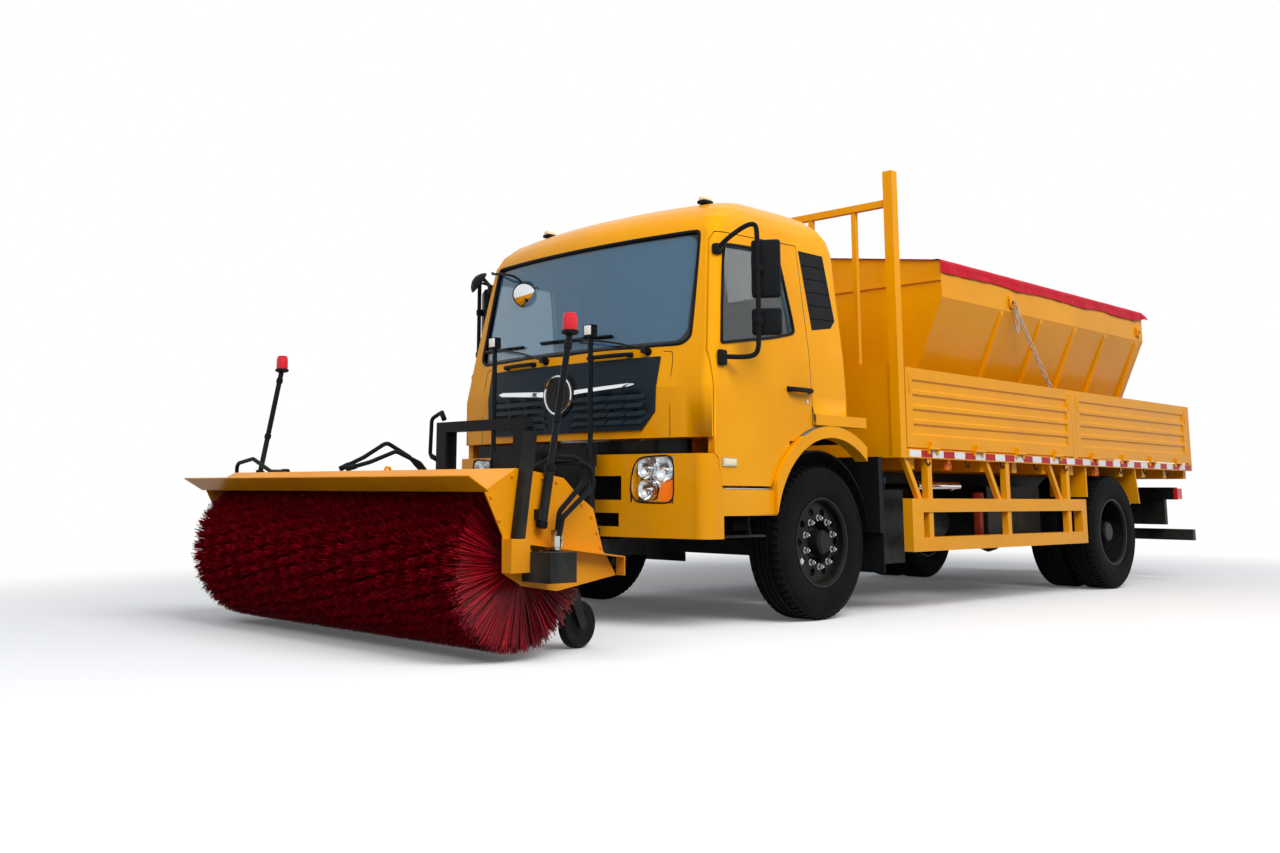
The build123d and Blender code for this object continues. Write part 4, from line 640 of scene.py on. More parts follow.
# Grab handles under the windscreen: moulded black nylon over a steel core,
# each held by two feet that are screwed to the cowl.
bm = bmesh.new()
for y0, y1 in ((239, 604), (-639, -297)):
    for foot in (y0 + 18, y1 - 18):
        rounded_block(bm, at(nose_x(foot, 1700) - 4, foot - 16, 1684),
                      at(nose_x(foot, 1700) + 34, foot + 16, 1716), 0.008)
    steps = [y0 + (y1 - y0) * share for share in (0, 0.04, 0.12, 0.5, 0.88, 0.96, 1)]
    proud = (22, 34, 40, 40, 40, 34, 22)
    bent_tube(bm, [at(nose_x(y, 1700) + out, y, 1701) for y, out in zip(steps, proud)], 0.014)
made_piece("nose_grab_handles", bm, black_plastic, "chassis")

# Wipers: pressed steel arms in black enamel with a rubber blade on each.
# The arms are parked along the foot of the windscreen.
bm = bmesh.new()
for pivot, tip, blade0, blade1 in ((715, 60, 400, -290), (-190, -790, -480, -985)):
    foot = at(nose_x(pivot, 1716) + 14, pivot, 1716)
    turned(bm, [(0, 0.05), (0.012, 0.05), (0.02, 0.044), (0.024, 0.02), (0.026, -0.02), (0, -0.02)], foot,
           (0.93, 0, 0.37), 24)
    rounded_block(bm, foot + Vector((0.02, -0.020, -0.016)), foot + Vector((0.046, 0.020, 0.016)), 0.006)
    points = [(pivot, 1722, 46), (pivot - 60, 1736, 56), (pivot - 260, 1796, 48), (tip, 1846, 26)]
    bent_tube(bm, [at(nose_x(y, z) + out, y, z) for y, z, out in points], 0.0075, sides=3)
    steps = [blade0 + (blade1 - blade0) * share for share in (0, 0.25, 0.5, 0.75, 1)]
    for rise, lift, thick in ((1834, 4, 0.006), (1841, 12, 0.0045), (1846, 17, 0.007)):
        bent_tube(bm, [at(nose_x(y, rise) - 16 + lift, y, rise + 8 * index / 4) for index,
                       y in enumerate(steps)], thick, sides=3)
made_piece("wipers", bm, gloss_black, "chassis")

# Bumper: one deep pressed steel cover in body colour. Its top, above 1.0655 m in the recess under the cab, is
# near black: painted shade.
bumper_enamel = painted("bumper_yellow_enamel", "EC9C00", "E29400", 0.32, 1.0, 0.14, black_above=1.0655)
dress(bumper_enamel, "bumper")

# Headlamps: a chromed plastic housing with two bowls, an amber turn lamp at
# its lower outer corner, and a clear polycarbonate cover that follows the bumper.
LAMP_OUTLINE = ((652, 774), (958, 764), (958, 1050), (717, 1038), (670, 959))
amber_lens = lens("amber_acrylic_lens", "EE6C08")
marker_lens = lens("pale_marker_lens", "EADBB4")


def bumper_x(y):
    return 1405 - 120 * (y / 1096) ** 2


def drawn_flat(face):
    """True for a face that still lies in the plane the outline was drawn in."""
    return abs(face.calc_center_median().x - at(0, 0, 0).x) < 1e-6


def lamp_slab(bm, outline, side, back, front, corner):
    """A slab of the outline that follows the bumper's curve, between two depths behind its face."""
    ring = [bm.verts.new(at(0, side * y, z)) for y, z in outline]
    bm.faces.new(ring)
    bmesh.ops.bevel(bm, geom=ring, offset=corner / 1000, affect="VERTICES", segments=4, profile=0.5,
                    material=-1)
    for y in range(int(min(p[0] for p in outline)) + 40, int(max(p[0] for p in outline)), 40):
        geom = [g for f in bm.faces for g in (f, *f.edges, *f.verts) if drawn_flat(f)]
        bmesh.ops.bisect_plane(bm, geom=list(set(geom)), plane_co=at(0, side * y, 0), plane_no=(0, 1, 0))
    flat = [f for f in bm.faces if drawn_flat(f)]
    grown = bmesh.ops.extrude_face_region(bm, geom=flat)["geom"]
    moved = {g for g in grown if isinstance(g, bmesh.types.BMVert)}
    for v in {v for f in flat for v in f.verts} | moved:
        depth = front if v in moved else back
        v.co.x = (bumper_x(v.co.y * 1000) - depth + 1810) / 1000


for side_name, side in SIDES:
    bm = bmesh.new()
    lamp_slab(bm, LAMP_OUTLINE, side, 54, 48, 26)
    for y, z, radius in ((755, 975, 0.066), (888, 965, 0.076), (755, 845, 0.064)):
        middle = at(bumper_x(y) - 50, side * y, z)
        turned(bm, [(0.012, 0.004), (0.03, 0.006), (radius * 0.75, 0.016), (radius, 0.036),
                    (radius + 0.003, 0.036),
                    (radius + 0.003, 0.002), (0.012, 0.0)], middle, (1, 0, 0), steps=40, closed=True)
        turned(bm, [(0, 0.03), (0.008, 0.027), (0.011, 0.018), (0.011, 0.0), (0, 0.0)], middle, (1, 0, 0),
               steps=20)
    unit = made_piece(f"headlamp_bowls_{side_name}", bm, chrome, "chassis")
    bm = bmesh.new()
    lamp_slab(bm, LAMP_OUTLINE, side, 8, 3, 26)
    cover = made_piece(f"headlamp_cover_{side_name}", bm, lens_glass, "chassis")
    bm = bmesh.new()
    lamp_slab(bm, ((838, 777), (948, 773), (951, 908), (902, 906), (862, 866)), side, 46, 12, 10)
    made_piece(f"turn_lamp_{side_name}", bm, amber_lens, "chassis")
    if side > 0:
        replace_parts(unit, "headlamps")
    bm = bmesh.new()
    rim = [(648, 860), (656, 770), (800, 763), (961, 762), (963, 900), (961, 1054), (840, 1052), (716, 1042),
           (686, 1004),
           (664, 960), (648, 860), (656, 770)]
    bent_tube(bm, [at(bumper_x(y) - 2, side * y, z) for y, z in rim], 0.0055, sides=3)
    made_piece(f"headlamp_rim_{side_name}", bm, black_plastic, "chassis")

# Windscreen: laminated glass bonded in the opening, with a black printed
# border that hides the bond. The border is part of the glass.
dress(glazed("laminated_windscreen_glass", "C4D6DE", border=True), "windscreen")
dress(window_glass, "door_glass_left", "door_glass_right")

# Windscreen rubber: an extruded black section round the glass, rounded at the
# four corners, that fills the joint between the glass and the cab's skin.
bm = bmesh.new()
screen_net = [(0, 1746), (500, 1746), (900, 1747), (955, 1750), (1006, 1784), (1009, 1830), (1004, 2000),
              (990, 2340),
              (984, 2440), (978, 2486), (930, 2491), (500, 2491)]
screen_net += [(0, 2491)] + [(-y, z) for y, z in reversed(screen_net)]
bent_tube(bm, [at(nose_x(y, z) - 3, y, z) for y, z in screen_net], 0.012, sides=4)
made_piece("windscreen_rubber", bm, black_plastic, "chassis")

# Door and corner joints: black rubber seals lie sunk in the gap round each door,
# and a thin sealed joint parts the nose panel from the corner panel.
welded = bmesh.new()
welded.from_mesh(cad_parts["cab_shell"].data)
cab_skin = BVHTree.FromBMesh(welded)
welded.free()
SEAL_LINE = ((1150, 1046), (1187, 1068), (1189.5, 1380), (1189, 1700), (1124, 2060), (1057, 2430), (1029, 2475),
             (600, 2489), (193, 2499), (178, 1900), (163, 1326), (163, 1300))
bm = bmesh.new()
for side in (1, -1):
    seal = []
    for here, after in zip(SEAL_LINE, SEAL_LINE[1:]):
        for step in range(6):
            x, z = (a + (b - a) * step / 6 for a, b in zip(here, after))
            out_x, out_z = x + (10 if x > 1000 else -10 if x < 400 else 0), z + (10 if z > 2440 else 0)
            met = cab_skin.ray_cast(at(out_x, side * 1500, out_z), Vector((0, -side, 0)))[0]
            if met:
                seal.append(at(x, met.y * 1000 - side * 7, z))
    bent_tube(bm, seal, 0.0032, sides=2)
    joint = [(905, 1168), (905, 1300), (905, 1500), (905, 1690), (880, 1706), (830, 1708)]
    bent_tube(bm, [at(nose_x(y, z) - 0.6, side * y, z) for y, z in joint], 0.0026, sides=2)
made_piece("cab_joint_seals", bm, black_plastic, "chassis")

# Door furniture: black moulded handles over pressed dishes, a zinc lock barrel,
# an aluminium tread on the step box and a hanging step of black tube.
tread, steps = bmesh.new(), bmesh.new()
for side_name, side in SIDES:
    bm, locks = bmesh.new(), bmesh.new()
    skin = 1184
    bent_tube(bm, [at(x, side * (skin + out), 1500) for x, out in
                   ((196, 2), (200, 22), (226, 34), (300, 38), (400, 34), (428, 20), (432, 2))], 0.0165)
    rounded_block(bm, at(184, side * (skin - 3), 1482), at(212, side * (skin + 12), 1520), 0.006)
    rounded_block(bm, at(416, side * (skin - 3), 1482), at(444, side * (skin + 12), 1520), 0.006)
    round_bar(locks, at(226, side * (skin - 4), 1430), at(226, side * (skin + 5), 1430), 0.014, sides=20,
              chamfer=0.002)
    rounded_block(tread, at(606, side * 1060, 851), at(1090, side * 1180, 858), 0.003)
    for x in range(630, 1080, 24):
        rounded_block(tread, at(x, side * 1068, 857), at(x + 7, side * 1172, 860), 0.001, segments=1)
    made_piece(f"door_handle_{side_name}", bm, black_plastic, f"door_{side_name}")
    made_piece(f"door_lock_barrel_{side_name}", locks, zinc_steel, f"door_{side_name}")
    rounded_block(steps, at(650, side * 1010, 556), at(1060, side * 1150, 570), 0.004)
    for x in (690, 1020):
        bent_tube(steps, [at(x, side * 1040, 692), at(x, side * 1040, 640), at(x, side * 1046, 600),
                          at(x, side * 1052, 566)], 0.011)
made_piece("hanging_steps", steps, chassis_black, "chassis")
made_piece("step_treads", tread, zinc_steel, "chassis")

# Side markers: a clear moulded lens in a bright frame low on each door, bare,
# screwed on from the inside.
for side_name, side in SIDES:
    bm, face = bmesh.new(), bmesh.new()
    rounded_block(bm, at(976, side * 1166, 988), at(1112, side * 1189, 1042), 0.008, 3)
    rounded_block(face, at(986, side * 1186, 996), at(1102, side * 1193, 1034), 0.006, 3)
    made_piece(f"side_marker_frame_{side_name}", bm, zinc_steel, f"door_{side_name}")
    made_piece(f"side_marker_lens_{side_name}", face, marker_lens, f"door_{side_name}")

# Door mirrors: a black tube arm on two brackets carries two moulded heads, the
# wide one low. Their glasses face back towards the driver.
mirror_glass = plated("silvered_mirror_glass", "DDE3E6", 0.02)
HEAD_X, HEAD_Y = 880, 1362
for side_name, side in SIDES:
    bm, glass = bmesh.new(), bmesh.new()
    route = ((1040, 1100, 2352), (1030, 1150, 2400), (1000, 1285, 2486), (960, 1350, 2500), (956, 1356, 2440),
             (955, 1356, 2100), (955, 1356, 1760), (960, 1350, 1672), (1000, 1300, 1652), (1060, 1220, 1658),
             (1100, 1186, 1660))
    bent_tube(bm, [at(x, side * y, z) for x, y, z in route], 0.0155, order=4)
    rounded_block(bm, at(1072, side * 1176, 1604), at(1150, side * 1206, 1702), 0.014, segments=3)
    rounded_block(bm, at(1010, side * 1080, 2322), at(1072, side * 1128, 2392), 0.014, segments=3)
    for low, high, wide in ((2030, 2400, 182), (1795, 1965, 186)):
        turn = side * math.radians(-57)
        near, far, middle_y = HEAD_X - wide / 2, HEAD_X + wide / 2, side * HEAD_Y
        rounded_block(bm, at(near, middle_y - 27, low), at(far, middle_y + 27, high), 0.022, 4, turn=turn)
        rounded_block(glass, at(near + 14, middle_y - 1.5, low + 14), at(far - 14, middle_y + 1.5, high - 14),
                      0.0014, 1, turn=turn)
        back = Vector((-math.sin(turn), math.cos(turn), 0)) * -side * 0.0272
        bmesh.ops.translate(glass, vec=back, verts=[v for v in glass.verts if low / 1000 < v.co.z < high / 1000])
        middle = (low + high) / 2
        rounded_block(bm, at(905, side * 1340, middle - 26), at(975, side * 1374, middle + 26), 0.01)
    shell = made_piece(f"mirror_heads_{side_name}", bm, black_plastic, f"door_{side_name}")
    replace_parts(shell, f"mirror_{side_name}")
    made_piece(f"mirror_glasses_{side_name}", glass, mirror_glass, f"door_{side_name}")

# Round wide-view mirrors at the right pillar: domed glass in a black shell,
# one on the door's arm and one on a bent rod before the windscreen.
for name, middle, facing, arm, body in (
        ("wide_view_mirror", (1010, -1300, 2440), (-0.75, 0.35, -0.55),
         ((1030, -1130, 2392), (1040, -1220, 2420), (1022, -1296, 2440)), "door_right"),
        ("front_view_mirror", (1185, -560, 2235), (0.75, 0.45, -0.35),
         ((1096, -1032, 2470), (1170, -960, 2440), (1200, -800, 2420), (1196, -640, 2380), (1180, -575, 2300),
          (1172, -566, 2250)), "chassis")):
    bm = bmesh.new()
    turned(bm, [(0, -0.052), (0.03, -0.048), (0.066, -0.03), (0.088, -0.008), (0.094, 0.004), (0.09, 0.009),
                (0.084, 0.006), (0, 0.004)],
           at(*middle), facing, steps=48)
    bent_tube(bm, [at(*p) for p in arm], 0.0095, sides=4)
    round_bar(bm, at(*arm[-1]), at(*middle), 0.013, sides=14)
    made_piece(name, bm, black_plastic, body)
    bm = bmesh.new()
    turned(bm, [(0, 0.017), (0.03, 0.0155), (0.06, 0.0115), (0.084, 0.0065), (0.084, 0.003), (0, 0.003)],
           at(*middle), facing, steps=48)
    made_piece(f"{name}_glass", bm, mirror_glass, body)

# Roof marker lamps: a pale moulded lens on a black rubber foot, one at each
# front corner of the roof.
feet, domes = bmesh.new(), bmesh.new()
for side in (1, -1):
    rounded_block(feet, at(700, side * 769 - 36, 2752), at(796, side * 769 + 36, 2778), 0.010, 3)
    rounded_block(domes, at(706, side * 769 - 29, 2772), at(790, side * 769 + 29, 2806), 0.014, 4)
made_piece("roof_lamp_feet", feet, black_plastic, "chassis")
made_piece("roof_lamp_lenses", domes, marker_lens, "chassis")


# Seats: moulded foam under woven cloth, with a cushion, a back and a headrest
# for the driver, and the same on a wider bench for two.
def soft_block(bm, low, high, crown, lean=0.0, rows=7):
    """A crowned, closed pad between two corners, pulled in between its corners."""
    low, high = Vector(low), Vector(high)
    middle, half = (low + high) / 2, (high - low) / 2
    known = set(bm.verts)
    pad = bmesh.ops.create_cube(bm, size=2.0)["verts"]
    bmesh.ops.subdivide_edges(bm, edges=list({e for v in pad for e in v.link_edges}), cuts=rows,
                              use_grid_fill=True)
    pad = [v for v in bm.verts if v not in known]
    for _ in range(4):
        bmesh.ops.smooth_vert(bm, verts=pad, factor=0.5, use_axis_x=True, use_axis_y=True, use_axis_z=True)
    reach = max(v.co.x for v in pad)
    for v in pad:
        u = v.co / reach
        round_off = 1 - crown * (u.x ** 2 * u.y ** 2 + u.y ** 2 * u.z ** 2 + u.x ** 2 * u.z ** 2) / 3
        v.co = middle + Vector((u.x * half.x, u.y * half.y, u.z * half.z)) * round_off
        v.co.x -= lean * (v.co.z - low.z)


for name, y0, y1 in (("driver_seat", 236, 754), ("bench_seat", -854, -126)):
    bm = bmesh.new()
    soft_block(bm, at(105, y0, 1330), at(532, y1, 1572), 0.2)
    soft_block(bm, at(85, y0 + 12, 1540), at(250, y1 - 12, 2090), 0.25, lean=0.12)
    heads = 1 if y1 - y0 < 600 else 2
    wide = (y1 - y0) / heads
    for head in range(heads):
        middle_y = y0 + wide * (head + 0.5)
        soft_block(bm, at(52, middle_y - 130, 2120), at(140, middle_y + 130, 2318), 0.3)
    rounded_block(bm, at(120, y0 + 40, 1206), at(500, y1 - 40, 1350), 0.02)
    seat = made_piece(name, bm, seat_cloth, "chassis", sharp=80)
    grown = seat.modifiers.new("rounding", "SUBSURF")
    grown.levels = grown.render_levels = 1
    if y0 > 0:
        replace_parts(seat, "seats")

# Reflective tape: red and white micro-prism film, glued along the bed's sill in equal lengths.
white_tape = painted("white_reflective_film", "E9EAEA", "D8DADB", 0.35, 1.2, 0.25, coat=0.1)
STRIPS, STRIP_PITCH = 34, 160
red_tape = painted("red_reflective_film", "B8141E", "A8101A", 0.35, 1.2, 0.2, coat=0.1)
bm = bmesh.new()
for side in (1, -1):
    for index in range(STRIPS):
        x = -925 - index * STRIP_PITCH
        known = set(bm.faces)
        rounded_block(bm, at(x - STRIP_PITCH + 2, side * 1249.6, 1098), at(x, side * 1251.6, 1148), 0.0006, 1)
        for face in set(bm.faces) - known:
            face.material_index = index % 2
made_piece("sill_reflective_tape", bm, (white_tape, red_tape), "chassis")

# Drop-side latches: a forged lever and keeper at each end of every board,
# painted over in body colour with the boards.
for side_name, side in SIDES:
    for span, ends in (("front", (-950, -3585)), ("rear", (-3756, -6284))):
        bm = bmesh.new()
        for x in ends:
            rounded_block(bm, at(x - 17, side * 1246, 1560), at(x + 17, side * 1253, 1732), 0.002)
            round_bar(bm, at(x, side * 1250, 1705), at(x, side * 1257, 1705), 0.013, sides=16, chamfer=0.0015)
            rounded_block(bm, at(x - 7, side * 1251, 1572), at(x + 7, side * 1256.5, 1700), 0.002)
            round_bar(bm, at(x - 12, side * 1253, 1578), at(x + 12, side * 1253, 1578), 0.0035, sides=10)
        made_piece(f"board_latches_{side_name}_{span}", bm, yellow_enamel, f"board_{side_name}_{span}")

# Rope hooks and rings: bent round bar under the sill for lashing the load,
# two of them in orange on each side.
def ring_bar(radius, thick, sides):
    """The round section of a bar bent to a ring, for turned()."""
    return [(radius + thick * math.cos(2 * math.pi * k / sides), thick * math.sin(2 * math.pi * k / sides))
            for k in range(sides)]


orange_enamel = painted("orange_hook_enamel", "D8521A", "C94812", 0.4, 1.0, 0.2)
dark, bright = bmesh.new(), bmesh.new()
for side in (1, -1):
    for x in (-1180, -1760, -2320, -2900, -3460, -4620, -5180, -5740):
        hook = [at(x, side * 1232, 1092), at(x, side * 1234, 1062), at(x, side * 1246, 1040),
                at(x, side * 1262, 1046), at(x, side * 1262, 1066)]
        bent_tube(dark, hook, 0.006, sides=3)
    for x in (-1480, -4080):
        turned(bright, ring_bar(0.026, 0.007, 8), at(x, side * 1236, 1034), (1, 0.15, 0), steps=24, closed=True)
        round_bar(bright, at(x, side * 1236, 1092), at(x, side * 1236, 1056), 0.009, sides=12)
made_piece("rope_hooks", dark, chassis_black, "chassis")
made_piece("orange_lashing_rings", bright, orange_enamel, "chassis")

# Rail furniture: a polished steel cylinder on the left rail, the reagent tank's
# blue moulded cap, and a red pump stand behind the side guard.
bm = bmesh.new()
turned(bm, [(0, 0), (0.030, 0), (0.0335, 0.004), (0.0335, 0.09), (0.036, 0.092), (0.036, 0.112),
            (0.0335, 0.114), (0.0335, 0.52),
            (0.036, 0.522), (0.036, 0.542), (0.0335, 0.544), (0.0335, 0.636), (0.030, 0.640), (0, 0.640)],
       at(-2272, 880, 898), (1, 0, 0), steps=40)
made_piece("polished_cylinder", bm, chrome, "chassis")
blue_plastic = moulded("blue_cap_plastic", "2E5C94", 0.45)
bm = bmesh.new()
turned(bm, [(0, 0.048), (0.036, 0.048), (0.044, 0.042), (0.046, 0.006), (0.046, 0), (0, 0)],
       at(-1080, 900, 912), (0, 0, 1), steps=36)
made_piece("reagent_cap", bm, blue_plastic, "chassis")
red_enamel = painted("red_pump_enamel", "B3381C", "A02F16", 0.45, 1.0, 0.3)
bm = bmesh.new()
rounded_block(bm, at(-2530, 900, 470), at(-2470, 960, 760), 0.01)
turned(bm, [(0, 0), (0.042, 0), (0.046, 0.006), (0.046, 0.10), (0.04, 0.11), (0, 0.11)], at(-2500, 930, 740),
       (0, 0, 1), steps=28)
made_piece("red_pump_stand", bm, red_enamel, "chassis")

# Tarp: one sheet of red PVC-coated polyester over the hopper's gabled frame.
# It is tied along the ridge frame, and its free margins hang in short waves.
TARP_FLAT = (2.452, 4.088)


def drape_line(across):
    """Where a point lies, in millimetres, that far from the ridge along the cloth."""
    slope = math.atan2(2676 - 2841, 1112)
    reach = 1118.0
    if across <= reach:
        return across * math.cos(slope), 2844 + across * math.sin(slope)
    over = across - reach
    return reach * math.cos(slope) + 14 + over * 0.16, 2844 + reach * math.sin(slope) - over * 0.95


bm = bmesh.new()
bmesh.ops.create_grid(bm, x_segments=136, y_segments=80, size=0.5)
for v in bm.verts:
    u, w = v.co.x + 0.5, v.co.y
    x = -5790 + 4062 * u
    across = abs(w) * TARP_FLAT[0] * 1000
    side = 1 if w >= 0 else -1
    y, z = drape_line(across)
    free = max(0.0, (across - 1090) / 136)
    wave = math.sin(u * 38 + side) * 0.6 + math.sin(u * 91 + 2 * side) * 0.4
    y += free * 11 * wave
    z += free * 9 * math.sin(u * 23 + 2 * side) + (1 - free) * 2.5 * math.sin(u * 61 + w * 9) * min(1,
                                                                                                    across / 300)
    tip = max(0.0, 1 - u * 14) * free if side > 0 else 0
    v.co = at(x - 8 * tip, side * (y + 10 * tip), z + 34 * tip)
tarp = made_piece("hopper_tarp_cloth", bm, tarp_red, "chassis", sharp=70, outward=False)
gable = bmesh.new()
frame_line = [at(-5728, y, z) for y, z in ((-1104, 2672), (0, 2837), (1104, 2672), (1104, 2400),
                                           (-1104, 2400))]
end = gable.faces.new([gable.verts.new(p) for p in frame_line])
run = bmesh.ops.extrude_face_region(gable, geom=[end])["geom"]
bmesh.ops.translate(gable, vec=(3.978, 0, 0), verts=[g for g in run if isinstance(g, bmesh.types.BMVert)])
bmesh.ops.recalc_face_normals(gable, faces=gable.faces)
gable_mesh = bpy.data.meshes.new("gable_form")
gable.to_mesh(gable_mesh)
gable.free()
gable_form = bpy.data.objects.new("gable_form", gable_mesh)
view.collection.objects.link(gable_form)
gable_form.modifiers.new("touch", "COLLISION")
gable_form.collision.thickness_outer = 0.003
tied = tarp.vertex_groups.new(name="tied")
for v in tarp.data.vertices:
    x_mm, y_mm = v.co.x * 1000 - 1810, abs(v.co.y) * 1000
    if y_mm < 1060 and -5700 < x_mm < -1760:
        tied.add([v.index], 1.0, "REPLACE")
start = [v.co.copy() for v in tarp.data.vertices]
cloth = tarp.modifiers.new("hang", "CLOTH")
cloth.settings.quality = 6
cloth.settings.mass = 0.6
cloth.settings.tension_stiffness = cloth.settings.compression_stiffness = 40
cloth.settings.bending_stiffness = 2.5
cloth.settings.vertex_group_mass = "tied"
cloth.collision_settings.distance_min = 0.003
for step in range(1, 19):
    view.frame_set(step)
hung = tarp.evaluated_get(bpy.context.evaluated_depsgraph_get()).to_mesh()
ends = [v.co.copy() for v in hung.vertices]
tarp.modifiers.remove(cloth)
view.frame_set(1)
for v, before, after in zip(tarp.data.vertices, start, ends):
    move = after - before
    v.co = before + move * min(1.0, 0.028 / max(move.length, 1e-9))
bpy.data.objects.remove(gable_form)
fine = tarp.modifiers.new("fine_folds", "SUBSURF")
fine.levels = fine.render_levels = 1
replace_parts(tarp, "hopper_tarp")

# Brush bristles: 3 mm polypropylene filaments crimped into steel rings that
# are slid along the core. One ring is made and turned a little for each next one.
# The roots are a dark red wall under the filaments: painted shade for the dark depths of the packed bristles.
dark_core = moulded("bristle_root_shadow", "33030A", 0.8, grain=120.0, depth=0.3)
AXIS = at(2861, 0, 468)
bm = bmesh.new()
wall = [(0.132, -1.21), (0.25, -1.225), (0.360, -1.24), (0.360, 1.24), (0.25, 1.225), (0.132, 1.21)]
turned(bm, wall, AXIS, (0, 1, 0), steps=96, closed=True)
roots = made_piece("bristle_roots", bm, dark_core, "rotor")
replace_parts(roots, "brush_bristles")

RINGS_A_PIECE = 15
RING_PITCH = 2.575 / (3 * RINGS_A_PIECE)


def strand(bm, root, tip, root_radius, tip_radius):
    """One three-sided filament, in one of the strand finishes at random."""
    run = tip - root
    place = Matrix.Translation((root + tip) / 2) @ run.to_track_quat("Z", "Y").to_matrix().to_4x4()
    made = bmesh.ops.create_cone(bm, cap_ends=False, segments=3, radius1=root_radius, radius2=tip_radius,
                                 depth=run.length, matrix=place)["verts"]
    tint = rng.choice((0, 0, 1, 1, 2))
    for face in {f for v in made for f in v.link_faces}:
        face.material_index = tint


FILAMENTS = 3700
rng = random.Random(7)
ring = bmesh.new()
for index in range(FILAMENTS):
    turn = 2 * math.pi * index / FILAMENTS
    clump = round(turn * 24) / 24
    lean = 0.12 + 0.10 * math.sin(clump * 37) + rng.uniform(-0.07, 0.07)
    slide = rng.uniform(-0.5, 0.5) * RING_PITCH
    root = Vector((math.cos(turn), 0, math.sin(turn))) * 0.15
    tip_turn = turn + lean * 0.35
    tip = Vector((math.cos(tip_turn), 0, math.sin(tip_turn))) * rng.uniform(0.398, 0.4355)
    root.y, tip.y = slide * 0.5, slide + 0.012 * math.sin(clump * 53) + rng.uniform(-0.010, 0.010)
    strand(ring, root, tip, 0.0, 0.0018)
ring_mesh = bpy.data.meshes.new("bristle_ring")
ring.to_mesh(ring_mesh)
ring.free()
for part, first in (("left", 0), ("middle", 1), ("right", 2)):
    bm = bmesh.new()
    for step in range(RINGS_A_PIECE):
        known = len(bm.verts)
        bm.from_mesh(ring_mesh)
        bm.verts.ensure_lookup_table()
        new = bm.verts[known:]
        order = first * RINGS_A_PIECE + step
        y = 1.2875 - RING_PITCH * (order + 0.5)
        place = Matrix.Translation(AXIS + Vector((0, y, 0))) @ Matrix.Rotation(order * 2.399, 4, "Y")
        bmesh.ops.transform(bm, matrix=place, verts=new)
    mesh = bpy.data.meshes.new(f"bristles_{part}")
    bm.to_mesh(mesh)
    bm.free()
    for finish in strand_finishes:
        mesh.materials.append(finish)
    hair = bpy.data.objects.new(f"bristles_{part}", mesh)
    view.collection.objects.link(hair)
    for v in mesh.vertices:
        v.co.y = min(max(v.co.y, -1.305), 1.305)
    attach(hair, "rotor")

# End tufts: shorter filaments in the last crimped ring at each end, which fan
# out over the core's end plate. They are the same polypropylene.
TUFTS = 900
tufts = bmesh.new()
for side in (1, -1):
    for index in range(TUFTS):
        turn = 2 * math.pi * index / TUFTS
        root_r, tip_r = rng.uniform(0.045, 0.13), rng.uniform(0.375, 0.43)
        tip_turn = turn + rng.uniform(-0.05, 0.13)
        y = 1.3085 + rng.uniform(0.0, 0.010)
        root = AXIS + Vector((math.cos(turn) * root_r, side * y, math.sin(turn) * root_r))
        tip_y = side * (y + rng.uniform(-0.006, 0.016))
        tip = AXIS + Vector((math.cos(tip_turn) * tip_r, tip_y, math.sin(tip_turn) * tip_r))
        strand(tufts, root, tip, 0.0008, 0.0019)
made_piece("bristle_end_tufts", tufts, strand_finishes, "rotor", outward=False)

# Hood fixings: painted hexagon bolts along the end plates and the lip, where the
# sheets meet, and along the edge of the drive cover.
bm = bmesh.new()
for side in (1, -1):
    for x, z in ((3130, 800), (3075, 690), (2998, 900), (2905, 905), (2800, 892), (2700, 874), (2600, 815),
                 (2520, 762),
                 (2452, 700), (2412, 620), (2385, 545), (2980, 560), (3010, 470)):
        round_bar(bm, at(x, side * 1399, z), at(x, side * 1402, z), 0.011, sides=16)
        round_bar(bm, at(x, side * 1401, z), at(x, side * 1407, z), 0.008, sides=6, chamfer=0.001)
    for x in (2770, 2835, 2900):
        round_bar(bm, at(x, side * 1430, 537), at(x, side * 1430, 545), 0.009, sides=6, chamfer=0.001)
made_piece("hood_bolts", bm, hood_enamel, "brush_head")

# Beacons: a ribbed red acrylic dome with a cap, screwed on a black moulded
# base at the top of each pole, with its clamp collars below.
for side_name, side in SIDES:
    bm, base = bmesh.new(), bmesh.new()
    foot = at(2636, side * 1427, 1629)
    turned(bm, [(0.0, 0.018), (0.036, 0.018), (0.0375, 0.024), (0.0365, 0.092), (0.033, 0.098), (0.034, 0.103),
                (0.030, 0.109), (0, 0.111)],
           foot, (0, 0, 1), steps=48)
    for index in range(16):
        turn = 2 * math.pi * index / 16
        off = Vector((math.cos(turn), math.sin(turn), 0)) * 0.0366
        round_bar(bm, foot + off + Vector((0, 0, 0.026)), foot + off * 0.97 + Vector((0, 0, 0.09)), 0.0022,
                  sides=6)
    lamp_dome = made_piece(f"beacon_dome_{side_name}", bm, red_lens, "brush_head")
    turned(base, [(0, -0.004), (0.030, -0.004), (0.042, 0.002), (0.046, 0.006), (0.046, 0.016), (0.040, 0.021),
                  (0, 0.021)],
           foot, (0, 0, 1), steps=40)
    run = (at(2640, side * 1427, 1625) - at(2824, side * 1427, 648))
    for share in (0.02, 0.30, 0.55, 0.94):
        middle = at(2824, side * 1427, 648) + run * share
        r = 0.029 if share < 0.35 else 0.022
        turned(base, [(r - 0.006, -0.016), (r, -0.014), (r, 0.014), (r - 0.006, 0.016)], middle, run, steps=28,
               closed=True)
    made_piece(f"beacon_base_{side_name}", base, black_plastic, "brush_head")
    if side > 0:
        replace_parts(lamp_dome, "beacon_lamps")

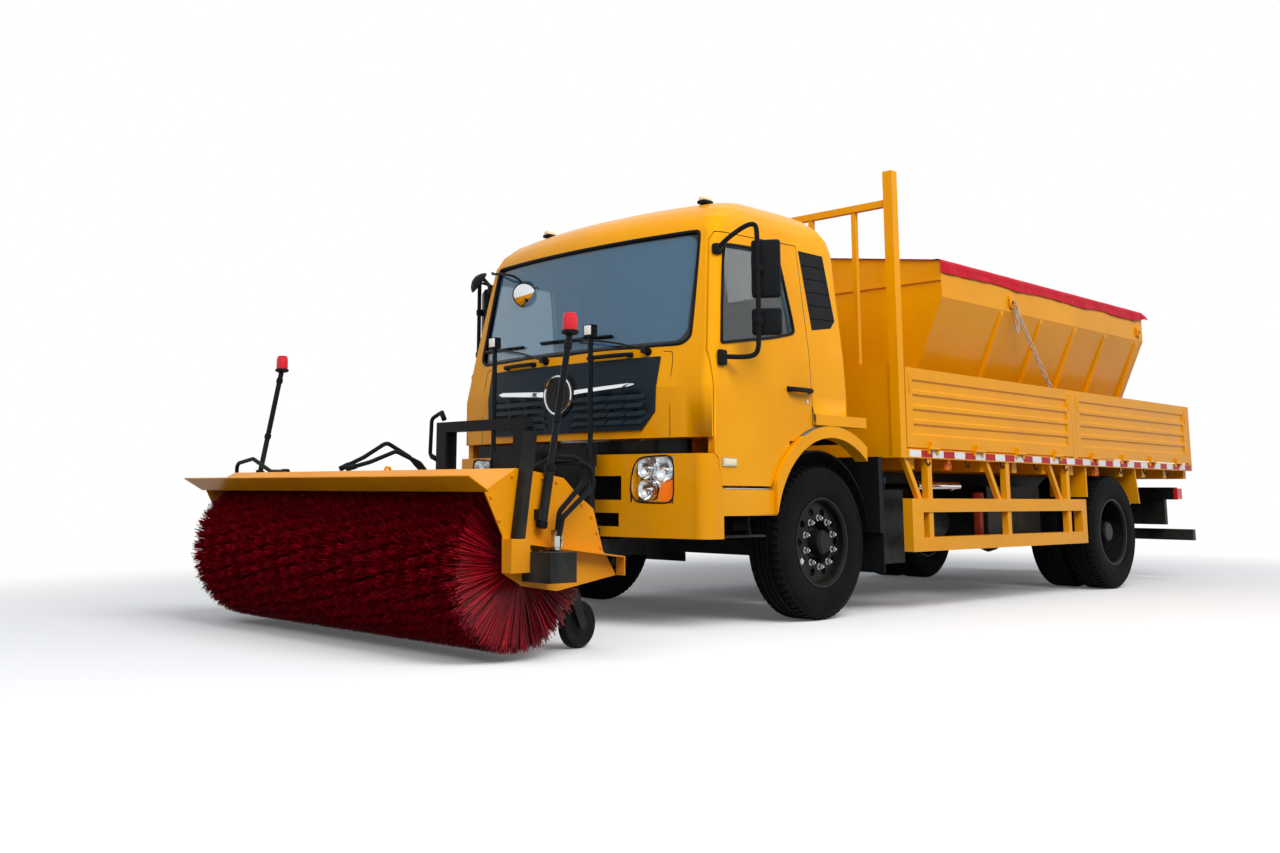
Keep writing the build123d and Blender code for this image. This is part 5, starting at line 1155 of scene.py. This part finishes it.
# Work lamps on the hitch poles: a finned black housing, a white moulded lens
# and a U bracket with two screws. The lenses face forwards.
white_lens = lens("white_lamp_lens", "F2F3F0")
for side_name, side in SIDES:
    bm, face = bmesh.new(), bmesh.new()
    y0, y1 = side * 434, side * 506
    rounded_block(bm, at(1528, y0, 1810), at(1564, y1, 1880), 0.007, 3)
    for fin in range(5):
        z = 1818 + fin * 12
        rounded_block(bm, at(1515, y0 + side * 6, z), at(1532, y1 - side * 6, z + 4), 0.001, 1)
    rounded_block(face, at(1561, y0 + side * 5, 1815), at(1567.5, y1 - side * 5, 1875), 0.003, 3)
    for y in (side * 430, side * 510):
        rounded_block(bm, at(1530, y - 2.5, 1800), at(1552, y + 2.5, 1856), 0.001, 1)
        round_bar(bm, at(1541, y - 6, 1846), at(1541, y + 6, 1846), 0.006, sides=6)
    made_piece(f"work_lamp_body_{side_name}", bm, black_plastic, "chassis")
    made_piece(f"work_lamp_lens_{side_name}", face, white_lens, "chassis")

# Bright parts of the CAD model: the lift ram's ground rod and the spinner's
# pressed disc, both plated.
dress(zinc_steel, "lift_ram_rod", "spinner_disc")

# Lifting chain: welded links of 10 mm round steel, galvanised, between the
# hopper's eye and its foot on the bed. It hangs with a slight sag.
CHAIN_TOP, CHAIN_LOW = at(-2905, 1126, 2452), at(-4010, 1164, 1195)
LINK_PITCH, LINK_STRETCH, CHAIN_SAG, TAIL_LINKS = 0.056, 0.0165, 0.035, 4


def chain_link(bm, place, index):
    """One oval link at a place; each next one is turned a quarter round its length."""
    known = set(bm.verts)
    turned(bm, ring_bar(0.0155, 0.0052, 6), (0, 0, 0), (0, 0, 1), steps=16, closed=True)
    bmesh.ops.remove_doubles(bm, verts=[v for v in bm.verts if v not in known], dist=0.00001)
    made = [v for v in bm.verts if v not in known]
    for v in made:
        v.co.x += LINK_STRETCH if v.co.x > 0 else -LINK_STRETCH
    bmesh.ops.transform(bm, matrix=place @ Matrix.Rotation(math.pi / 2 * (index % 2), 4, "X"), verts=made)


chain = bmesh.new()
chain_run = CHAIN_LOW - CHAIN_TOP
count = int(chain_run.length / LINK_PITCH)
for index in range(count):
    share = (index + 0.5) / count
    along = chain_run + Vector((0, 0, -4 * CHAIN_SAG)) * (1 - 2 * share)
    hang = CHAIN_TOP + chain_run * share + Vector((0, 0, -4 * CHAIN_SAG * share * (1 - share)))
    chain_link(chain, Matrix.Translation(hang) @ along.to_track_quat("X", "Z").to_matrix().to_4x4(), index)
for place, rise in ((CHAIN_TOP, 0.004), (CHAIN_LOW, -0.004)):
    round_bar(chain, place + Vector((0, -0.026, rise)), place + Vector((0, 0.024, rise)), 0.008, sides=14,
              chamfer=0.002)
for index in range(TAIL_LINKS):
    hang = CHAIN_TOP + Vector((-0.02, 0.012, -0.05 - LINK_PITCH * index))
    chain_link(chain, Matrix.Translation(hang) @ Matrix.Rotation(math.pi / 2, 4, "Y"), index)
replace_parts(made_piece("galvanised_chain", chain, zinc_steel, "chassis", sharp=60),
            "lifting_chain")

# Hopper eyes: thick plates with a forged ring hole, welded under the top band
# for the chain and for lifting the hopper off the bed.
bm = bmesh.new()
for side in (1, -1):
    for x, z in ((-2905, 2448), (-5600, 2452)):
        turned(bm, ring_bar(0.034, 0.010, 10), at(x, side * 1114, z), (0, 1, 0), steps=28, closed=True)
        rounded_block(bm, at(x - 44, side * 1096, z + 30), at(x + 44, side * 1118, z + 66), 0.006)
made_piece("hopper_eyes", bm, yellow_enamel, "chassis")

# Hose ends: zinc-plated crimped sleeves and hexagon nuts where the hoses meet
# the drive cover, with a bright adapter block under two of them.
bm = bmesh.new()
for x, y in ((2766, 1462), (2790, 1500)):
    round_bar(bm, at(x, y, 541), at(x, y, 556), 0.021, sides=6, chamfer=0.001)
    turned(bm, [(0.014, 0), (0.0185, 0.002), (0.0185, 0.05), (0.0165, 0.056), (0.014, 0.056)], at(x, y, 556),
           (0, 0, 1), steps=24, closed=True)
rounded_block(bm, at(2735, 1440, 560), at(2775, 1486, 640), 0.005)
made_piece("hose_fittings", bm, zinc_steel, "brush_head")
